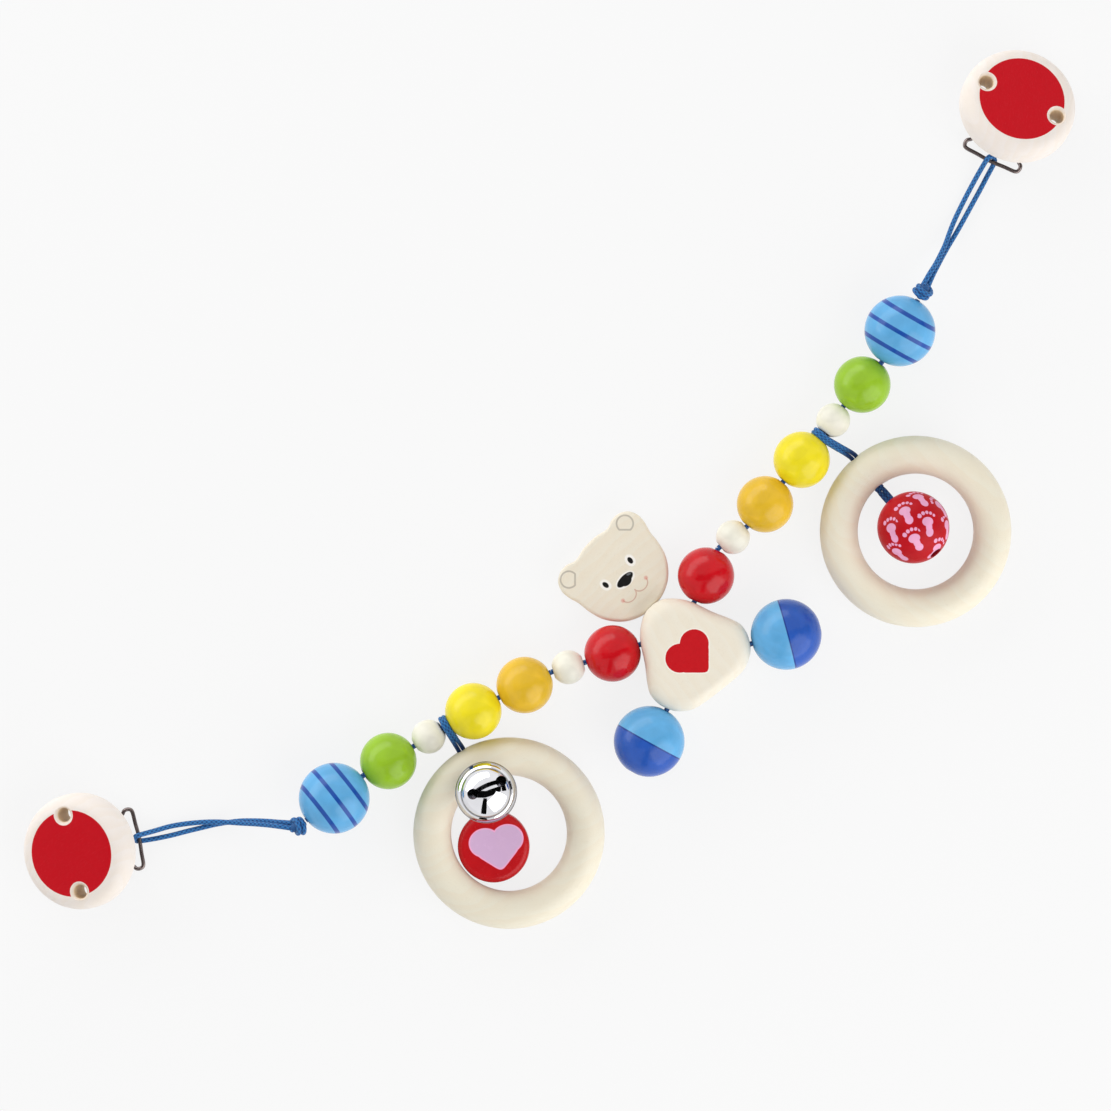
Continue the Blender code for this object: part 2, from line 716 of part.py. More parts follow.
def make_ball(parent, middle, out):
    """The ball in the right ring, on the same cord, which climbs from the ring's bore to its middle."""
    centre = Vector((middle.x, middle.y, BALL_RADIUS)) - out * BALL_OFFSET
    start = middle - out * (RING_CENTRE_RADIUS + RING_SECTION_RADIUS)
    knee = middle - out * (RING_CENTRE_RADIUS - RING_SECTION_RADIUS - STRAND_RADIUS)
    climb = (centre - knee).normalized()
    end = centre + climb * (BALL_RADIUS - FOOT_CORD_DEPTH)
    cord = doubled_cord("right_pendant_cord", [start, knee, end])
    spin = joint("ball_spin", parent, centre, climb)
    ball = bead("ball", BALL_RADIUS, centre, climb, BEAD_COLOURS["red"])
    carry(parent, cord)
    carry(spin, ball)


def make_bell_and_coin(parent, middle, out):
    """The jingle bell and the heart coin in the left ring, on one cord, arched through the bell's shank."""
    start = middle - out * (RING_CENTRE_RADIUS + RING_SECTION_RADIUS)
    wall = middle - out * (RING_CENTRE_RADIUS - RING_SECTION_RADIUS)
    top = wall + out * BELL_INSET + UP.cross(out) * BELL_SIDE_STEP + UP * CORD_ARCH
    rest = RING_CENTRE_RADIUS - RING_SECTION_RADIUS - COIN_RADIUS - COIN_WALL_GAP
    coin_middle = Vector((middle.x, middle.y, COIN_THICKNESS / 2)) + heading(COIN_REST_HEADING) * rest
    on = coin_middle - top
    on.z = 0
    on.normalize()
    near = coin_middle - on * COIN_RADIUS
    end = coin_middle + on * (COIN_RADIUS - FOOT_CORD_DEPTH)
    route = [start, wall - out * STRAND_RADIUS * 2]
    through = on * (SHANK_WIRE + STRAND_RADIUS / 2)
    arch = [wall + out * STRAND_RADIUS / 2, top - through, top + through, near - on * STRAND_RADIUS]
    route += along(arch, 3 * STRAND_RADIUS)
    route += [near + on * STRAND_RADIUS, end]
    cord = doubled_cord("left_pendant_cord", route)
    carry(parent, cord)

    half = COIN_THICKNESS / 2
    face = COIN_RADIUS - COIN_EDGE
    rim = half - COIN_EDGE
    edge_steps = 3
    turns = [pi / 2 * index / edge_steps for index in range(edge_steps + 1)]
    upper = [(face + COIN_EDGE * sin(a), rim + COIN_EDGE * cos(a)) for a in turns]
    profile = [(0, half)] + upper + [(r, -z) for r, z in reversed(upper)] + [(0, -half)]
    coin = turned("heart_coin", profile, Matrix.Translation(coin_middle), steps=DISC_STEPS, closed=False)
    finish(coin, BEAD_COLOURS["red"], roughness=0.25)
    overrun = on * (COIN_RADIUS + CUT_OVERRUN)
    bore = rod("coin_bore", BORE_RADIUS, coin_middle - overrun, coin_middle + overrun, hidden=True)
    boolean(coin, "DIFFERENCE", bore)
    spin = joint("coin_spin", parent, coin_middle, on)
    carry(spin, coin)
    make_bell(parent, top, on)


def make_bell(parent, hang, on):
    centre = hang + UP * BELL_HEIGHT_OVER_CORD
    swing = joint("bell_swing", parent, hang, on)
    arc_steps = 14
    arc = [pi * index / arc_steps for index in range(arc_steps + 1)]
    seam = [index == arc_steps // 2 for index in range(arc_steps + 1)]
    profile = [
        ((BELL_RADIUS + (BELL_SEAM if proud else 0)) * sin(a), BELL_RADIUS * cos(a))
        for a, proud in zip(arc, seam)
    ]
    bell_steps = 24
    placement = Matrix.Translation(centre)
    bell = turned("bell_shell", profile, placement, steps=bell_steps, closed=False)
    finish(bell, STEEL, roughness=0.1, metallic=1.0)
    hollow = BELL_RADIUS - BELL_WALL
    inside = [(hollow * sin(a), hollow * cos(a)) for a in arc]
    boolean(bell, "DIFFERENCE", turned("bell_hollow", inside, placement, bell_steps, True, False))

    # The sound slot: two eyes joined by a slit, facing up
    slit = heading(BELL_SLOT_HEADING)
    above = UP * (BELL_RADIUS + CUT_OVERRUN)
    slot_middle = centre + slit * BELL_SLOT_ALONG + UP.cross(slit) * BELL_SLOT_ACROSS
    for number, sign in enumerate((-1, 1)):
        eye = slot_middle + slit * sign * BELL_SLOT_SPAN / 2
        hole = rod(f"bell_eye_{number}", BELL_EYE_RADIUS, eye, eye + above, HOLE_STEPS, True)
        boolean(bell, "DIFFERENCE", hole)
    reach = Vector((BELL_SLOT_SPAN / 2, BELL_SLOT_WIDTH / 2, 0))
    turned_slot = Matrix.Translation(slot_middle) @ Matrix.Rotation(radians(BELL_SLOT_HEADING), 4, "Z")
    boolean(bell, "DIFFERENCE", box("bell_slit", -reach, reach + above, turned_slot, True))

    # The shank: a wire ring under the bell, round the cord
    shank_radius = BORE_RADIUS + SHANK_WIRE + SNUG_GAP
    shank_steps = 14
    level = side_axis(on)
    low = hang + UP * (BELL_HEIGHT_OVER_CORD - BELL_RADIUS - shank_radius)
    turns = [2 * pi * step / shank_steps for step in range(shank_steps)]
    ring = [low + (level * cos(angle) + UP * sin(angle)) * shank_radius for angle in turns]
    data = poly_curve("bell_shank", ring, cyclic=True)
    data.bevel_depth = SHANK_WIRE
    data.bevel_resolution = 1
    boolean(bell, "UNION", as_mesh(add("bell_shank", data), hidden=True))
    carry(swing, bell)

    rest = centre - UP * (hollow - CLAPPER_RADIUS - SEAT_GAP)
    rise = joint("clapper_rise", swing, rest, UP)
    bm = bmesh.new()
    bmesh.ops.create_icosphere(bm, subdivisions=2, radius=CLAPPER_RADIUS)
    clapper = add("bell_clapper", mesh_from(bm, "bell_clapper"), Matrix.Translation(rest))
    finish(clapper, STEEL, roughness=0.3, metallic=1.0)
    carry(rise, clapper)


def toothed_outline(start, end, half_width):
    """A plate's outline along +X whose far edge is cut into teeth."""
    points = [Vector((start, -half_width, 0)), Vector((end, -half_width, 0))]
    pitch = 2 * half_width / TOOTH_COUNT
    for tooth in range(TOOTH_COUNT):
        left = -half_width + tooth * pitch
        points += [Vector((end + TOOTH_DEPTH, left + pitch / 2, 0)), Vector((end, left + pitch, 0))]
    return points + [Vector((start, half_width, 0))]


def plate(name, outline, bottom, placement):
    """A flat sheet of this outline, one sheet thick, its underside at bottom."""
    bm = bmesh.new()
    face = bm.faces.new([bm.verts.new(point + UP * bottom) for point in outline])
    top = bmesh.ops.extrude_face_region(bm, geom=[face])["geom"]
    raised = [item for item in top if isinstance(item, bmesh.types.BMVert)]
    bmesh.ops.translate(bm, vec=UP * SHEET, verts=raised)
    bmesh.ops.recalc_face_normals(bm, faces=bm.faces)
    mesh = bpy.data.meshes.new(name)
    bm.to_mesh(mesh)
    bm.free()
    return add(name, mesh, placement)


def make_loop(side, parent):
    """The free loop of cord from the knot round the clip's bar and back. Returns the bar's placement."""
    outer = string_stations(side)[-1][4]
    reach = heading(CORD_HEADING[side])
    bend = joint(f"{side}_knot_bend", parent, outer, UP)
    knot_length = KNOT_RADIUS * KNOT_LENGTH_SHARE
    knot_middle = outer + heading(STRING_HEADINGS[side][-1]) * (knot_length + SNUG_GAP / 2)
    across = UP.cross(reach)
    bar = Vector((knot_middle.x, knot_middle.y, 0)) + reach * CORD_REACH[side]
    clip = heading(CLIP_HEADING[side])
    clip_across = UP.cross(clip)
    floor = STRAND_RADIUS + SNUG_GAP
    wrap = BAR_RADIUS + SEAT_GAP + STRAND_RADIUS
    start_side = STRAND_RADIUS + SNUG_GAP / 2
    strands = []
    for number, route in enumerate(LOOP_ROUTES[side]):
        first = knot_middle + across * start_side * (1 if number == 0 else -1)
        points = [first]
        for share, step, height_share in route:
            height = floor + (knot_middle.z - floor) * height_share
            flat = Vector((knot_middle.x, knot_middle.y, 0)).lerp(bar, share)
            points.append(flat + across * step + UP * height)
        strands.append(points)
    over, under = (bar + clip_across * step for step in LOOP_SIDE[side])
    turns = [radians(angle) for angle in (90, 45, 0, -45, -90)]
    wrapped = [
        over.lerp(under, index / (len(turns) - 1))
        + UP * (BAR_HEIGHT + wrap * sin(angle))
        + clip * wrap * cos(angle)
        for index, angle in enumerate(turns)
    ]
    route = along(strands[0] + wrapped + strands[1][::-1], 5 * STRAND_RADIUS)
    cord = as_mesh(tube(f"{side}_cord_loop", route, STRAND_RADIUS))
    finish(cord, CORD_BLUE, roughness=0.7)
    bm = bmesh.new()
    bmesh.ops.create_uvsphere(bm, u_segments=KNOT_STEPS, v_segments=KNOT_STEPS, radius=KNOT_RADIUS)
    bmesh.ops.scale(bm, vec=(1, 1, KNOT_LENGTH_SHARE), verts=bm.verts)
    knot = add(f"{side}_knot", mesh_from(bm, "knot"), aimed(knot_middle, reach), hidden=True)
    boolean(cord, "UNION", knot)
    carry(bend, cord)
    return bend, bar, clip


def make_clip(side, parent, bar, way):
    """A sprung clip: a plate with the cord's bar, a lever on a pin and spring, and the disc on the lever."""
    frame = Matrix.Translation(bar) @ Matrix.Rotation(atan2(way.y, way.x), 4, "Z")
    across = side_axis(way)
    swing = joint(f"{side}_clip_swing", parent, bar + UP * BAR_HEIGHT, across)
    pin = Vector((PIN_PLACE, 0, PIN_HEIGHT))
    half_width = PLATE_WIDTH / 2

    base = plate(f"{side}_clip_plate", toothed_outline(PLATE_START, PLATE_END, half_width), 0, frame)
    finish(base, STEEL, roughness=0.25, metallic=1.0)
    ear_low = pin + Vector((-EAR_LENGTH / 2, 0, SHEET / 2 - PIN_HEIGHT))
    ear_high = pin + Vector((EAR_LENGTH / 2, 0, EAR_RISE))
    for number, sign in enumerate((-1, 1)):
        outside = Vector((0, sign * half_width, 0))
        inside = Vector((0, sign * (half_width - SHEET), 0))
        low, high = (inside, outside) if sign > 0 else (outside, inside)
        boolean(base, "UNION", box(f"{side}_ear_{number}", ear_low + low, ear_high + high, frame, True))
    half_bar = BAR_WIDTH / 2 - BAR_RADIUS
    foot = SHEET / 2 + BAR_RADIUS / 4
    inner = half_width - 2 * BAR_RADIUS
    legs = [
        Vector((PLATE_START + 4 * BAR_RADIUS, inner, foot)),
        Vector((PLATE_START, inner, foot)),
        Vector((PLATE_START / 2, (inner + half_bar) / 2, (foot + BAR_HEIGHT) / 2)),
        Vector((BAR_BOW * 3, half_bar, BAR_HEIGHT)),
        Vector((BAR_BOW / 2, half_bar - 2 * BAR_RADIUS, BAR_HEIGHT)),
        Vector((0, half_bar / 2, BAR_HEIGHT)),
    ]
    mirrored = [Vector((point.x, -point.y, point.z)) for point in reversed(legs)]
    wire = along(legs + [Vector((-BAR_BOW / 2, 0, BAR_HEIGHT))] + mirrored, 4 * BAR_RADIUS)
    loop = as_mesh(tube(f"{side}_bar", [frame @ point for point in wire], BAR_RADIUS), hidden=True)
    boolean(base, "UNION", loop)
    side_step = Vector((0, half_width + CUT_OVERRUN, 0))
    hole_ends = (frame @ (pin - side_step), frame @ (pin + side_step))
    hole = rod(f"{side}_pin_hole", PIN_RADIUS + SEAT_GAP, *hole_ends, HOLE_STEPS, True)
    boolean(base, "DIFFERENCE", hole)
    carry(swing, base)

    rest = Matrix.Translation(pin) @ Matrix.Rotation(radians(LEVER_TILT), 4, "Y")
    lever_frame = frame @ rest
    press = joint(f"{side}_lever_press", swing, frame @ pin, across)
    under = PIN_HEIGHT + LEVER_LIFT * cos(radians(LEVER_TILT)) - SHEET - SEAT_GAP
    tip = under / sin(radians(LEVER_TILT)) - TOOTH_DEPTH
    lever_half = LEVER_WIDTH / 2
    outline = toothed_outline(-LEVER_THUMB, tip, lever_half)
    lever = plate(f"{side}_clip_lever", outline, LEVER_LIFT, lever_frame)
    finish(lever, STEEL, roughness=0.25, metallic=1.0)
    for number, sign in enumerate((-1, 1)):
        low_side, high_side = sorted((sign * lever_half, sign * (lever_half - SHEET)))
        low = Vector((-EAR_LENGTH / 2, low_side, -EAR_RISE))
        high = Vector((EAR_LENGTH / 2, high_side, LEVER_LIFT + SHEET / 2))
        boolean(lever, "UNION", box(f"{side}_lever_ear_{number}", low, high, lever_frame, True))
    boolean(lever, "DIFFERENCE", hole)
    carry(press, lever)
    make_pin(side, swing, frame, pin, half_width)
    make_spring(side, swing, frame, pin)
    carry(press, make_disc(side, lever_frame))


def make_pin(side, parent, frame, pin, half_width):
    """The hinge pin, headed outside both ears."""
    ear = half_width + SEAT_GAP
    end = ear + PIN_HEAD
    profile = [
        (0, end), (PIN_HEAD_RADIUS, end), (PIN_HEAD_RADIUS, ear), (PIN_RADIUS, ear),
        (PIN_RADIUS, -ear), (PIN_HEAD_RADIUS, -ear), (PIN_HEAD_RADIUS, -end), (0, -end),
    ]
    placement = frame @ Matrix.Translation(pin) @ Matrix.Rotation(pi / 2, 4, "X")
    obj = turned(f"{side}_clip_pin", profile, placement, steps=HOLE_STEPS, closed=False)
    finish(obj, STEEL, roughness=0.3, metallic=1.0)
    carry(parent, obj)


def make_spring(side, parent, frame, pin):
    """The torsion spring round the pin: one arm under the lever, the other on the plate, both cordwards."""
    first, last = radians(-90), radians(90 - LEVER_TILT + 360 * SPRING_TURNS)
    count = round((last - first) / (2 * pi) * CURL_POINTS)
    width = SPRING_PITCH * (last - first) / (2 * pi)
    coil = []
    for index in range(count + 1):
        angle = first + (last - first) * index / count
        sideways = -width / 2 + width * index / count
        coil.append(pin + Vector((SPRING_RADIUS * cos(angle), sideways, SPRING_RADIUS * sin(angle))))
    lower_end = Vector((pin.x - SPRING_ARM, -width / 2, SHEET + SEAT_GAP + SPRING_WIRE))
    lean = radians(LEVER_TILT)
    upper_end = coil[-1] + Vector((-cos(lean), 0, sin(lean))) * SPRING_ARM
    straight = 2 * SPRING_WIRE
    route = [lower_end, coil[0] - Vector((straight, 0, 0)), *coil, upper_end]
    obj = tube(f"{side}_clip_spring", [frame @ point for point in route], SPRING_WIRE, resolution=1)
    finish(obj, STEEL, roughness=0.3, metallic=1.0)
    carry(parent, obj)
    neighbours = CURL_POINTS // 2
    nearest = min(
        (first_point - second_point).length
        for number, first_point in enumerate(coil)
        for second_point in coil[number + neighbours:]
    )
    print(f"{side} clip spring: least gap between curls {(nearest - 2 * SPRING_WIRE) / MILLIMETRE:.2f} mm")


def make_disc(side, lever_frame):
    """The turned wooden disc on the lever, with two vent holes that cut into its painted face."""
    bottom = LEVER_LIFT + SHEET + SEAT_GAP
    top = bottom + DISC_THICKNESS
    edge = DISC_RADIUS - DISC_FACE_RADIUS
    shoulder = bottom + DISC_WALL
    rise = top - shoulder
    edge_steps = 5
    turns = [pi / 2 * index / edge_steps for index in range(edge_steps + 1)]
    profile = [(0, top)]
    profile += [(DISC_FACE_RADIUS + edge * sin(a), shoulder + rise * cos(a)) for a in turns]
    profile += [(DISC_RADIUS, bottom + DISC_BACK_EDGE), (DISC_RADIUS - DISC_BACK_EDGE, bottom), (0, bottom)]
    disc = turned(f"{side}_clip_disc", profile, lever_frame, steps=DISC_STEPS, closed=False)
    finish(disc, WOOD, roughness=0.4)
    low, high = bottom - CUT_OVERRUN, top + CUT_OVERRUN
    mouth = VENT_RADIUS + VENT_CHAMFER + CUT_OVERRUN
    bore = [(0, high), (mouth, high), (VENT_RADIUS, top - VENT_CHAMFER), (VENT_RADIUS, low), (0, low)]
    for number, sign in enumerate((-1, 1)):
        placement = lever_frame @ Matrix.Translation((0, sign * VENT_PITCH / 2, 0))
        vent = turned(f"{side}_vent_{number}", bore, placement, HOLE_STEPS, True, False)
        boolean(disc, "DIFFERENCE", vent)
    return disc


def main():
    make_bear()
    for side in ("left", "right"):
        string_end = make_strings(side)
        turn, middle, out = make_tab(side, f"{side}_yellow_bend")
        if side == "left":
            make_bell_and_coin(turn, middle, out)
        else:
            make_ball(turn, middle, out)
        bend, bar, way = make_loop(side, string_end)
        make_clip(side, bend, bar, way)


main()
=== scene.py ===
"""Looks of the wooden pram chain toy: lacquered beads on doubled cord, a bear, rings, a bell and disc clips."""

import json
from math import acos, asin, atan2, cos, pi, radians, sin, sqrt

import bmesh
import bpy
from bpy.props import FloatProperty, FloatVectorProperty, IntProperty, PointerProperty
from mathutils import Matrix, Vector


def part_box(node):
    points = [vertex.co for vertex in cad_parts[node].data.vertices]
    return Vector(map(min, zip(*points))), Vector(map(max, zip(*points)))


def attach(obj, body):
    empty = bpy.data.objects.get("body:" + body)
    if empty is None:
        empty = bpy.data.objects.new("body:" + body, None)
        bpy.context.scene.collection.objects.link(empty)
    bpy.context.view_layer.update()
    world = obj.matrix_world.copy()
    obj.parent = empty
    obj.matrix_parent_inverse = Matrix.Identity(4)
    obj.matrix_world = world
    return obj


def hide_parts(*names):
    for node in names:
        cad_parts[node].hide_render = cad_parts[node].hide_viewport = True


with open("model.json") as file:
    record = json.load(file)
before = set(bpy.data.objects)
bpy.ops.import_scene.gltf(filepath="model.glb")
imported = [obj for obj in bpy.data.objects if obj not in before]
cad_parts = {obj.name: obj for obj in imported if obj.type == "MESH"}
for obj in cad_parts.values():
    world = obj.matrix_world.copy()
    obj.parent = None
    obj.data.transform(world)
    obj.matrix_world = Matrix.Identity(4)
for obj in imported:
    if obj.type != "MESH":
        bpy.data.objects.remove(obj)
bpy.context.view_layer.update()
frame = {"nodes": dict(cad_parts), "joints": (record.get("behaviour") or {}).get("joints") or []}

bl_info = {
    "name": "Pram chain toy",
    "version": (1, 0, 0),
    "blender": (4, 5, 0),
    "location": "View3D > Sidebar > Pram chain",
    "description": "Builds the painted wood, cord and metal of a pram chain toy on its packed frame",
    "category": "Object",
}

JOINTS = {entry["name"]: entry for entry in frame["joints"]}
BEADS = ("red", "white_inner", "amber", "yellow", "white_outer", "green", "striped")
UP = Vector((0, 0, 1))
ORIGIN = Vector()
SIDES = ("left", "right")
QUARTERS = (0.0, 0.25, 0.5, 0.75)

# How far a cutter reaches beyond what it cuts, and the spacing of points along most strands
OVER = 0.002
STRAND_STEP = 0.00045
# Longer than any span between beads, so that a line keeps only its own points
WHOLE = 1.0
# From the middle of a foot to the end of its cord, and from a knot's joint to the knot's middle
FOOT_CORD_END = 0.0113
KNOT_STEP = 0.0028 * 1.15 + 0.00015
# Height of a clip's bar over the floor, and the air under a cord that lies on the floor
BAR_HEIGHT = 0.0031
FLOOR_GAP = 0.0003

# The seat of the bear's head: how deep it sinks over the neck, and its play
NECK_SINK = 0.0006
SEAT_PLAY = 1.004
# The bell's crease as a share of its radius, and the way of its slot
BELL_CREASE = 0.52
SLOT_HEADING = 24

# One step of the picture in metres, and what is painted by it
PICTURE_STEP = 0.0003525
BODY_HEART_TIP = (16.0 * PICTURE_STEP, -17.0 * PICTURE_STEP, 0)
BODY_HEART_SIDE = 28.7 * PICTURE_STEP
FACE_ORIGIN = (-75.3 * PICTURE_STEP, 83.7 * PICTURE_STEP, 0)
COIN_HEART_TIP = (-190.2 * PICTURE_STEP, -216.5 * PICTURE_STEP, 0)
COIN_HEART_SIZES = (29.7 * PICTURE_STEP * 1.09, 29.7 * PICTURE_STEP * 0.99, 1)
COIN_HEART_HEADING = 100.4
TIP_ROUNDING = 0.3

# One footprint, one unit long: each part's middle and radii
SOLE_PARTS = ((0.05, -0.33, 0.165, 0.18), (0.03, -0.10, 0.14, 0.28), (0.0, 0.10, 0.24, 0.19))
TOES = (
    (-0.31, 0.36, 0.092), (-0.135, 0.455, 0.076), (0.035, 0.48, 0.070), (0.195, 0.435, 0.066), (0.33, 0.34, 0.062),
)
PRINT_SOFTNESS = 0.012
# Length of a print, how its reach is weighed against its neighbours', and a reach beyond them all
PRINT_LENGTH = 0.0087
PRINT_REACH = (1.3, 0.9, 0.8)
FAR = 10.0
# The thin stripes of a striped bead, in radii along its bore
STRIPES = (-0.53, 0.0, 0.53)

# Yarns that run round the cord each way, and threads in a yarn
YARNS = 4.0
THREADS = 5
WAX_ROUGHNESS = 0.3
WARM_WOOD = (0.80, 0.62, 0.40)
PORE_BROWN = (0.50, 0.34, 0.18)
STAIN = (0.90, 0.80, 0.62)
# Depth of each surface's relief
LACQUER_RELIEF = 0.00003
WOOD_RELIEF = 0.00004
PLAIT_RELIEF = 0.00009


def srgb(red, green, blue):
    """A colour as it reads on screen, 0 to 255, as the linear values that a shader takes."""
    shares = (value / 255 for value in (red, green, blue))
    return tuple(share / 12.92 if share <= 0.04045 else ((share + 0.055) / 1.055) ** 2.4 for share in shares)


def length_field(name, description, default):
    """A size in metres."""
    return FloatProperty(
        name=name, description=description, default=default, min=0, unit="LENGTH", subtype="DISTANCE",
    )


def share_field(name, description, default):
    """A share from nothing to all."""
    return FloatProperty(name=name, description=description, default=default, min=0, max=1, subtype="FACTOR")


def colour_field(name, description, default):
    """A colour in linear shares."""
    return FloatVectorProperty(
        name=name, description=description, default=default, min=0, max=1, subtype="COLOR",
    )


class BeadSettings(bpy.types.PropertyGroup):
    """Sizes and lacquers of the round beads"""

    small_radius: length_field("Small radius", "Radius of the small white beads", 0.006)
    medium_radius: length_field("Medium radius", "Radius of the plain coloured beads", 0.010)
    big_radius: length_field("Big radius", "Radius of the striped beads and the feet", 0.0125)
    ball_radius: length_field("Ball radius", "Radius of the printed ball", 0.0127)
    mouth: length_field("Mouth easing", "How far the edge of a bore is rounded", 0.00028)
    bore_radius: length_field("Bore radius", "Radius of every bore", 0.002055)
    steps: IntProperty(name="Steps", description="Steps round a bead", default=72, min=12)
    red: colour_field("Red", "Red lacquer", srgb(203, 14, 26))
    white: colour_field("White", "Milky white lacquer", srgb(240, 237, 222))
    amber: colour_field("Amber", "Amber lacquer", srgb(231, 187, 46))
    yellow: colour_field("Yellow", "Yellow lacquer", srgb(242, 224, 36))
    green: colour_field("Green", "Green lacquer", srgb(152, 195, 44))
    light_blue: colour_field("Light blue", "Light blue lacquer", srgb(98, 173, 224))
    dark_blue: colour_field("Dark blue", "Dark blue lacquer and stripes", srgb(42, 88, 180))
    stripe_blue: colour_field("Stripe blue", "Blue of the thin stripes", srgb(30, 78, 165))
    print_pink: colour_field("Print pink", "Pink of the prints on the ball", srgb(236, 170, 205))


class BearSettings(bpy.types.PropertyGroup):
    """Sizes and colours of the bear"""

    body_length: length_field("Body length", "From the seat to the neck", 0.0384)
    body_width: length_field("Body width", "Across the hips", 0.0402)
    body_thickness: length_field("Body thickness", "From the flat back to the front", 0.020)
    body_edge: length_field("Body edge", "Rounding of the body's edges", 0.006)
    head_width: length_field("Head width", "From ear to ear", 0.0381)
    head_height: length_field("Head height", "From chin to crown", 0.0323)
    head_thickness: length_field("Head thickness", "Thickness of the head's board", 0.010)
    head_edge: length_field("Head edge", "Rounding of the head's edges", 0.0016)
    wood: colour_field("Wood", "Waxed pale wood of the body", srgb(237, 230, 214))
    head_wood: colour_field("Head wood", "Waxed pale wood of the head", srgb(235, 228, 211))
    heart: colour_field("Heart", "Red of the heart on the body", srgb(200, 14, 26))
    ink: colour_field("Ink", "Black of the eyes and the nose", srgb(14, 13, 14))
    ear_line: colour_field("Ear line", "Grey of the rings in the ears", srgb(172, 164, 152))
    mouth_line: colour_field("Mouth line", "Brown of the smile", srgb(196, 132, 112))


class CordSettings(bpy.types.PropertyGroup):
    """Sizes and colours of the cord"""

    radius: length_field("Strand radius", "Radius of one strand", 0.0009)
    pitch_share: share_field("Pitch share", "Half the strands' pitch over their radius", 0.95)
    plait: length_field("Plait", "Length of one repeat of the plait", 0.0017)
    sides: IntProperty(name="Sides", description="Sides of a strand", default=16, min=6)
    blue: colour_field("Blue", "Blue of the cord", srgb(30, 108, 174))
    navy: colour_field("Navy", "Dark blue in the plait's folds", srgb(10, 40, 96))


class RingSettings(bpy.types.PropertyGroup):
    """Sizes and colours of the rings and of what hangs in them"""

    centre_radius: length_field("Ring radius", "From the ring's middle to the middle of its section", 0.0271)
    section_radius: length_field("Section radius", "Radius of the ring's section", 0.0067)
    coin_radius: length_field("Coin radius", "Radius of the heart coin", 0.0127)
    coin_thickness: length_field("Coin thickness", "Thickness of the heart coin", 0.0096)
    coin_edge: length_field("Coin edge", "Rounding of the coin's rim", 0.0024)
    wood: colour_field("Wood", "Waxed pale wood of the rings", srgb(234, 228, 209))
    coin_red: colour_field("Coin red", "Red lacquer of the coin", srgb(188, 16, 24))
    heart_mauve: colour_field("Heart mauve", "Mauve of the coin's heart", srgb(216, 180, 216))
    heart_pink: colour_field("Heart pink", "Pink line round the coin's heart", srgb(248, 178, 216))


class BellSettings(bpy.types.PropertyGroup):
    """Sizes and colours of the jingle bell"""

    radius: length_field("Bell radius", "Radius of the bell's domes", 0.0103)
    wall: length_field("Wall", "Thickness of the bell's sheet", 0.0006)
    seam: length_field("Seam", "How far the seam stands proud", 0.00055)
    slot_span: length_field("Slot span", "Between the middles of the slot's eyes", 0.0108)
    slot_width: length_field("Slot width", "Width of the slot", 0.0015)
    slot_bow: length_field("Slot bow", "How far the slot bows to its left", 0.0008)
    slot_along: length_field("Slot along", "How far the slot sits along itself from the middle", 0.0011)
    slot_across: length_field("Slot across", "How far the slot sits to its left of the middle", 0.0016)
    eye_radius: length_field("Eye radius", "Radius of the slot's round ends", 0.0019)
    clapper_radius: length_field("Clapper radius", "Radius of the loose clapper", 0.0026)
    shank_wire: length_field("Shank wire", "Radius of the shank's wire", 0.0007)
    plate: colour_field("Plate", "Bright nickel plate", srgb(232, 232, 236))


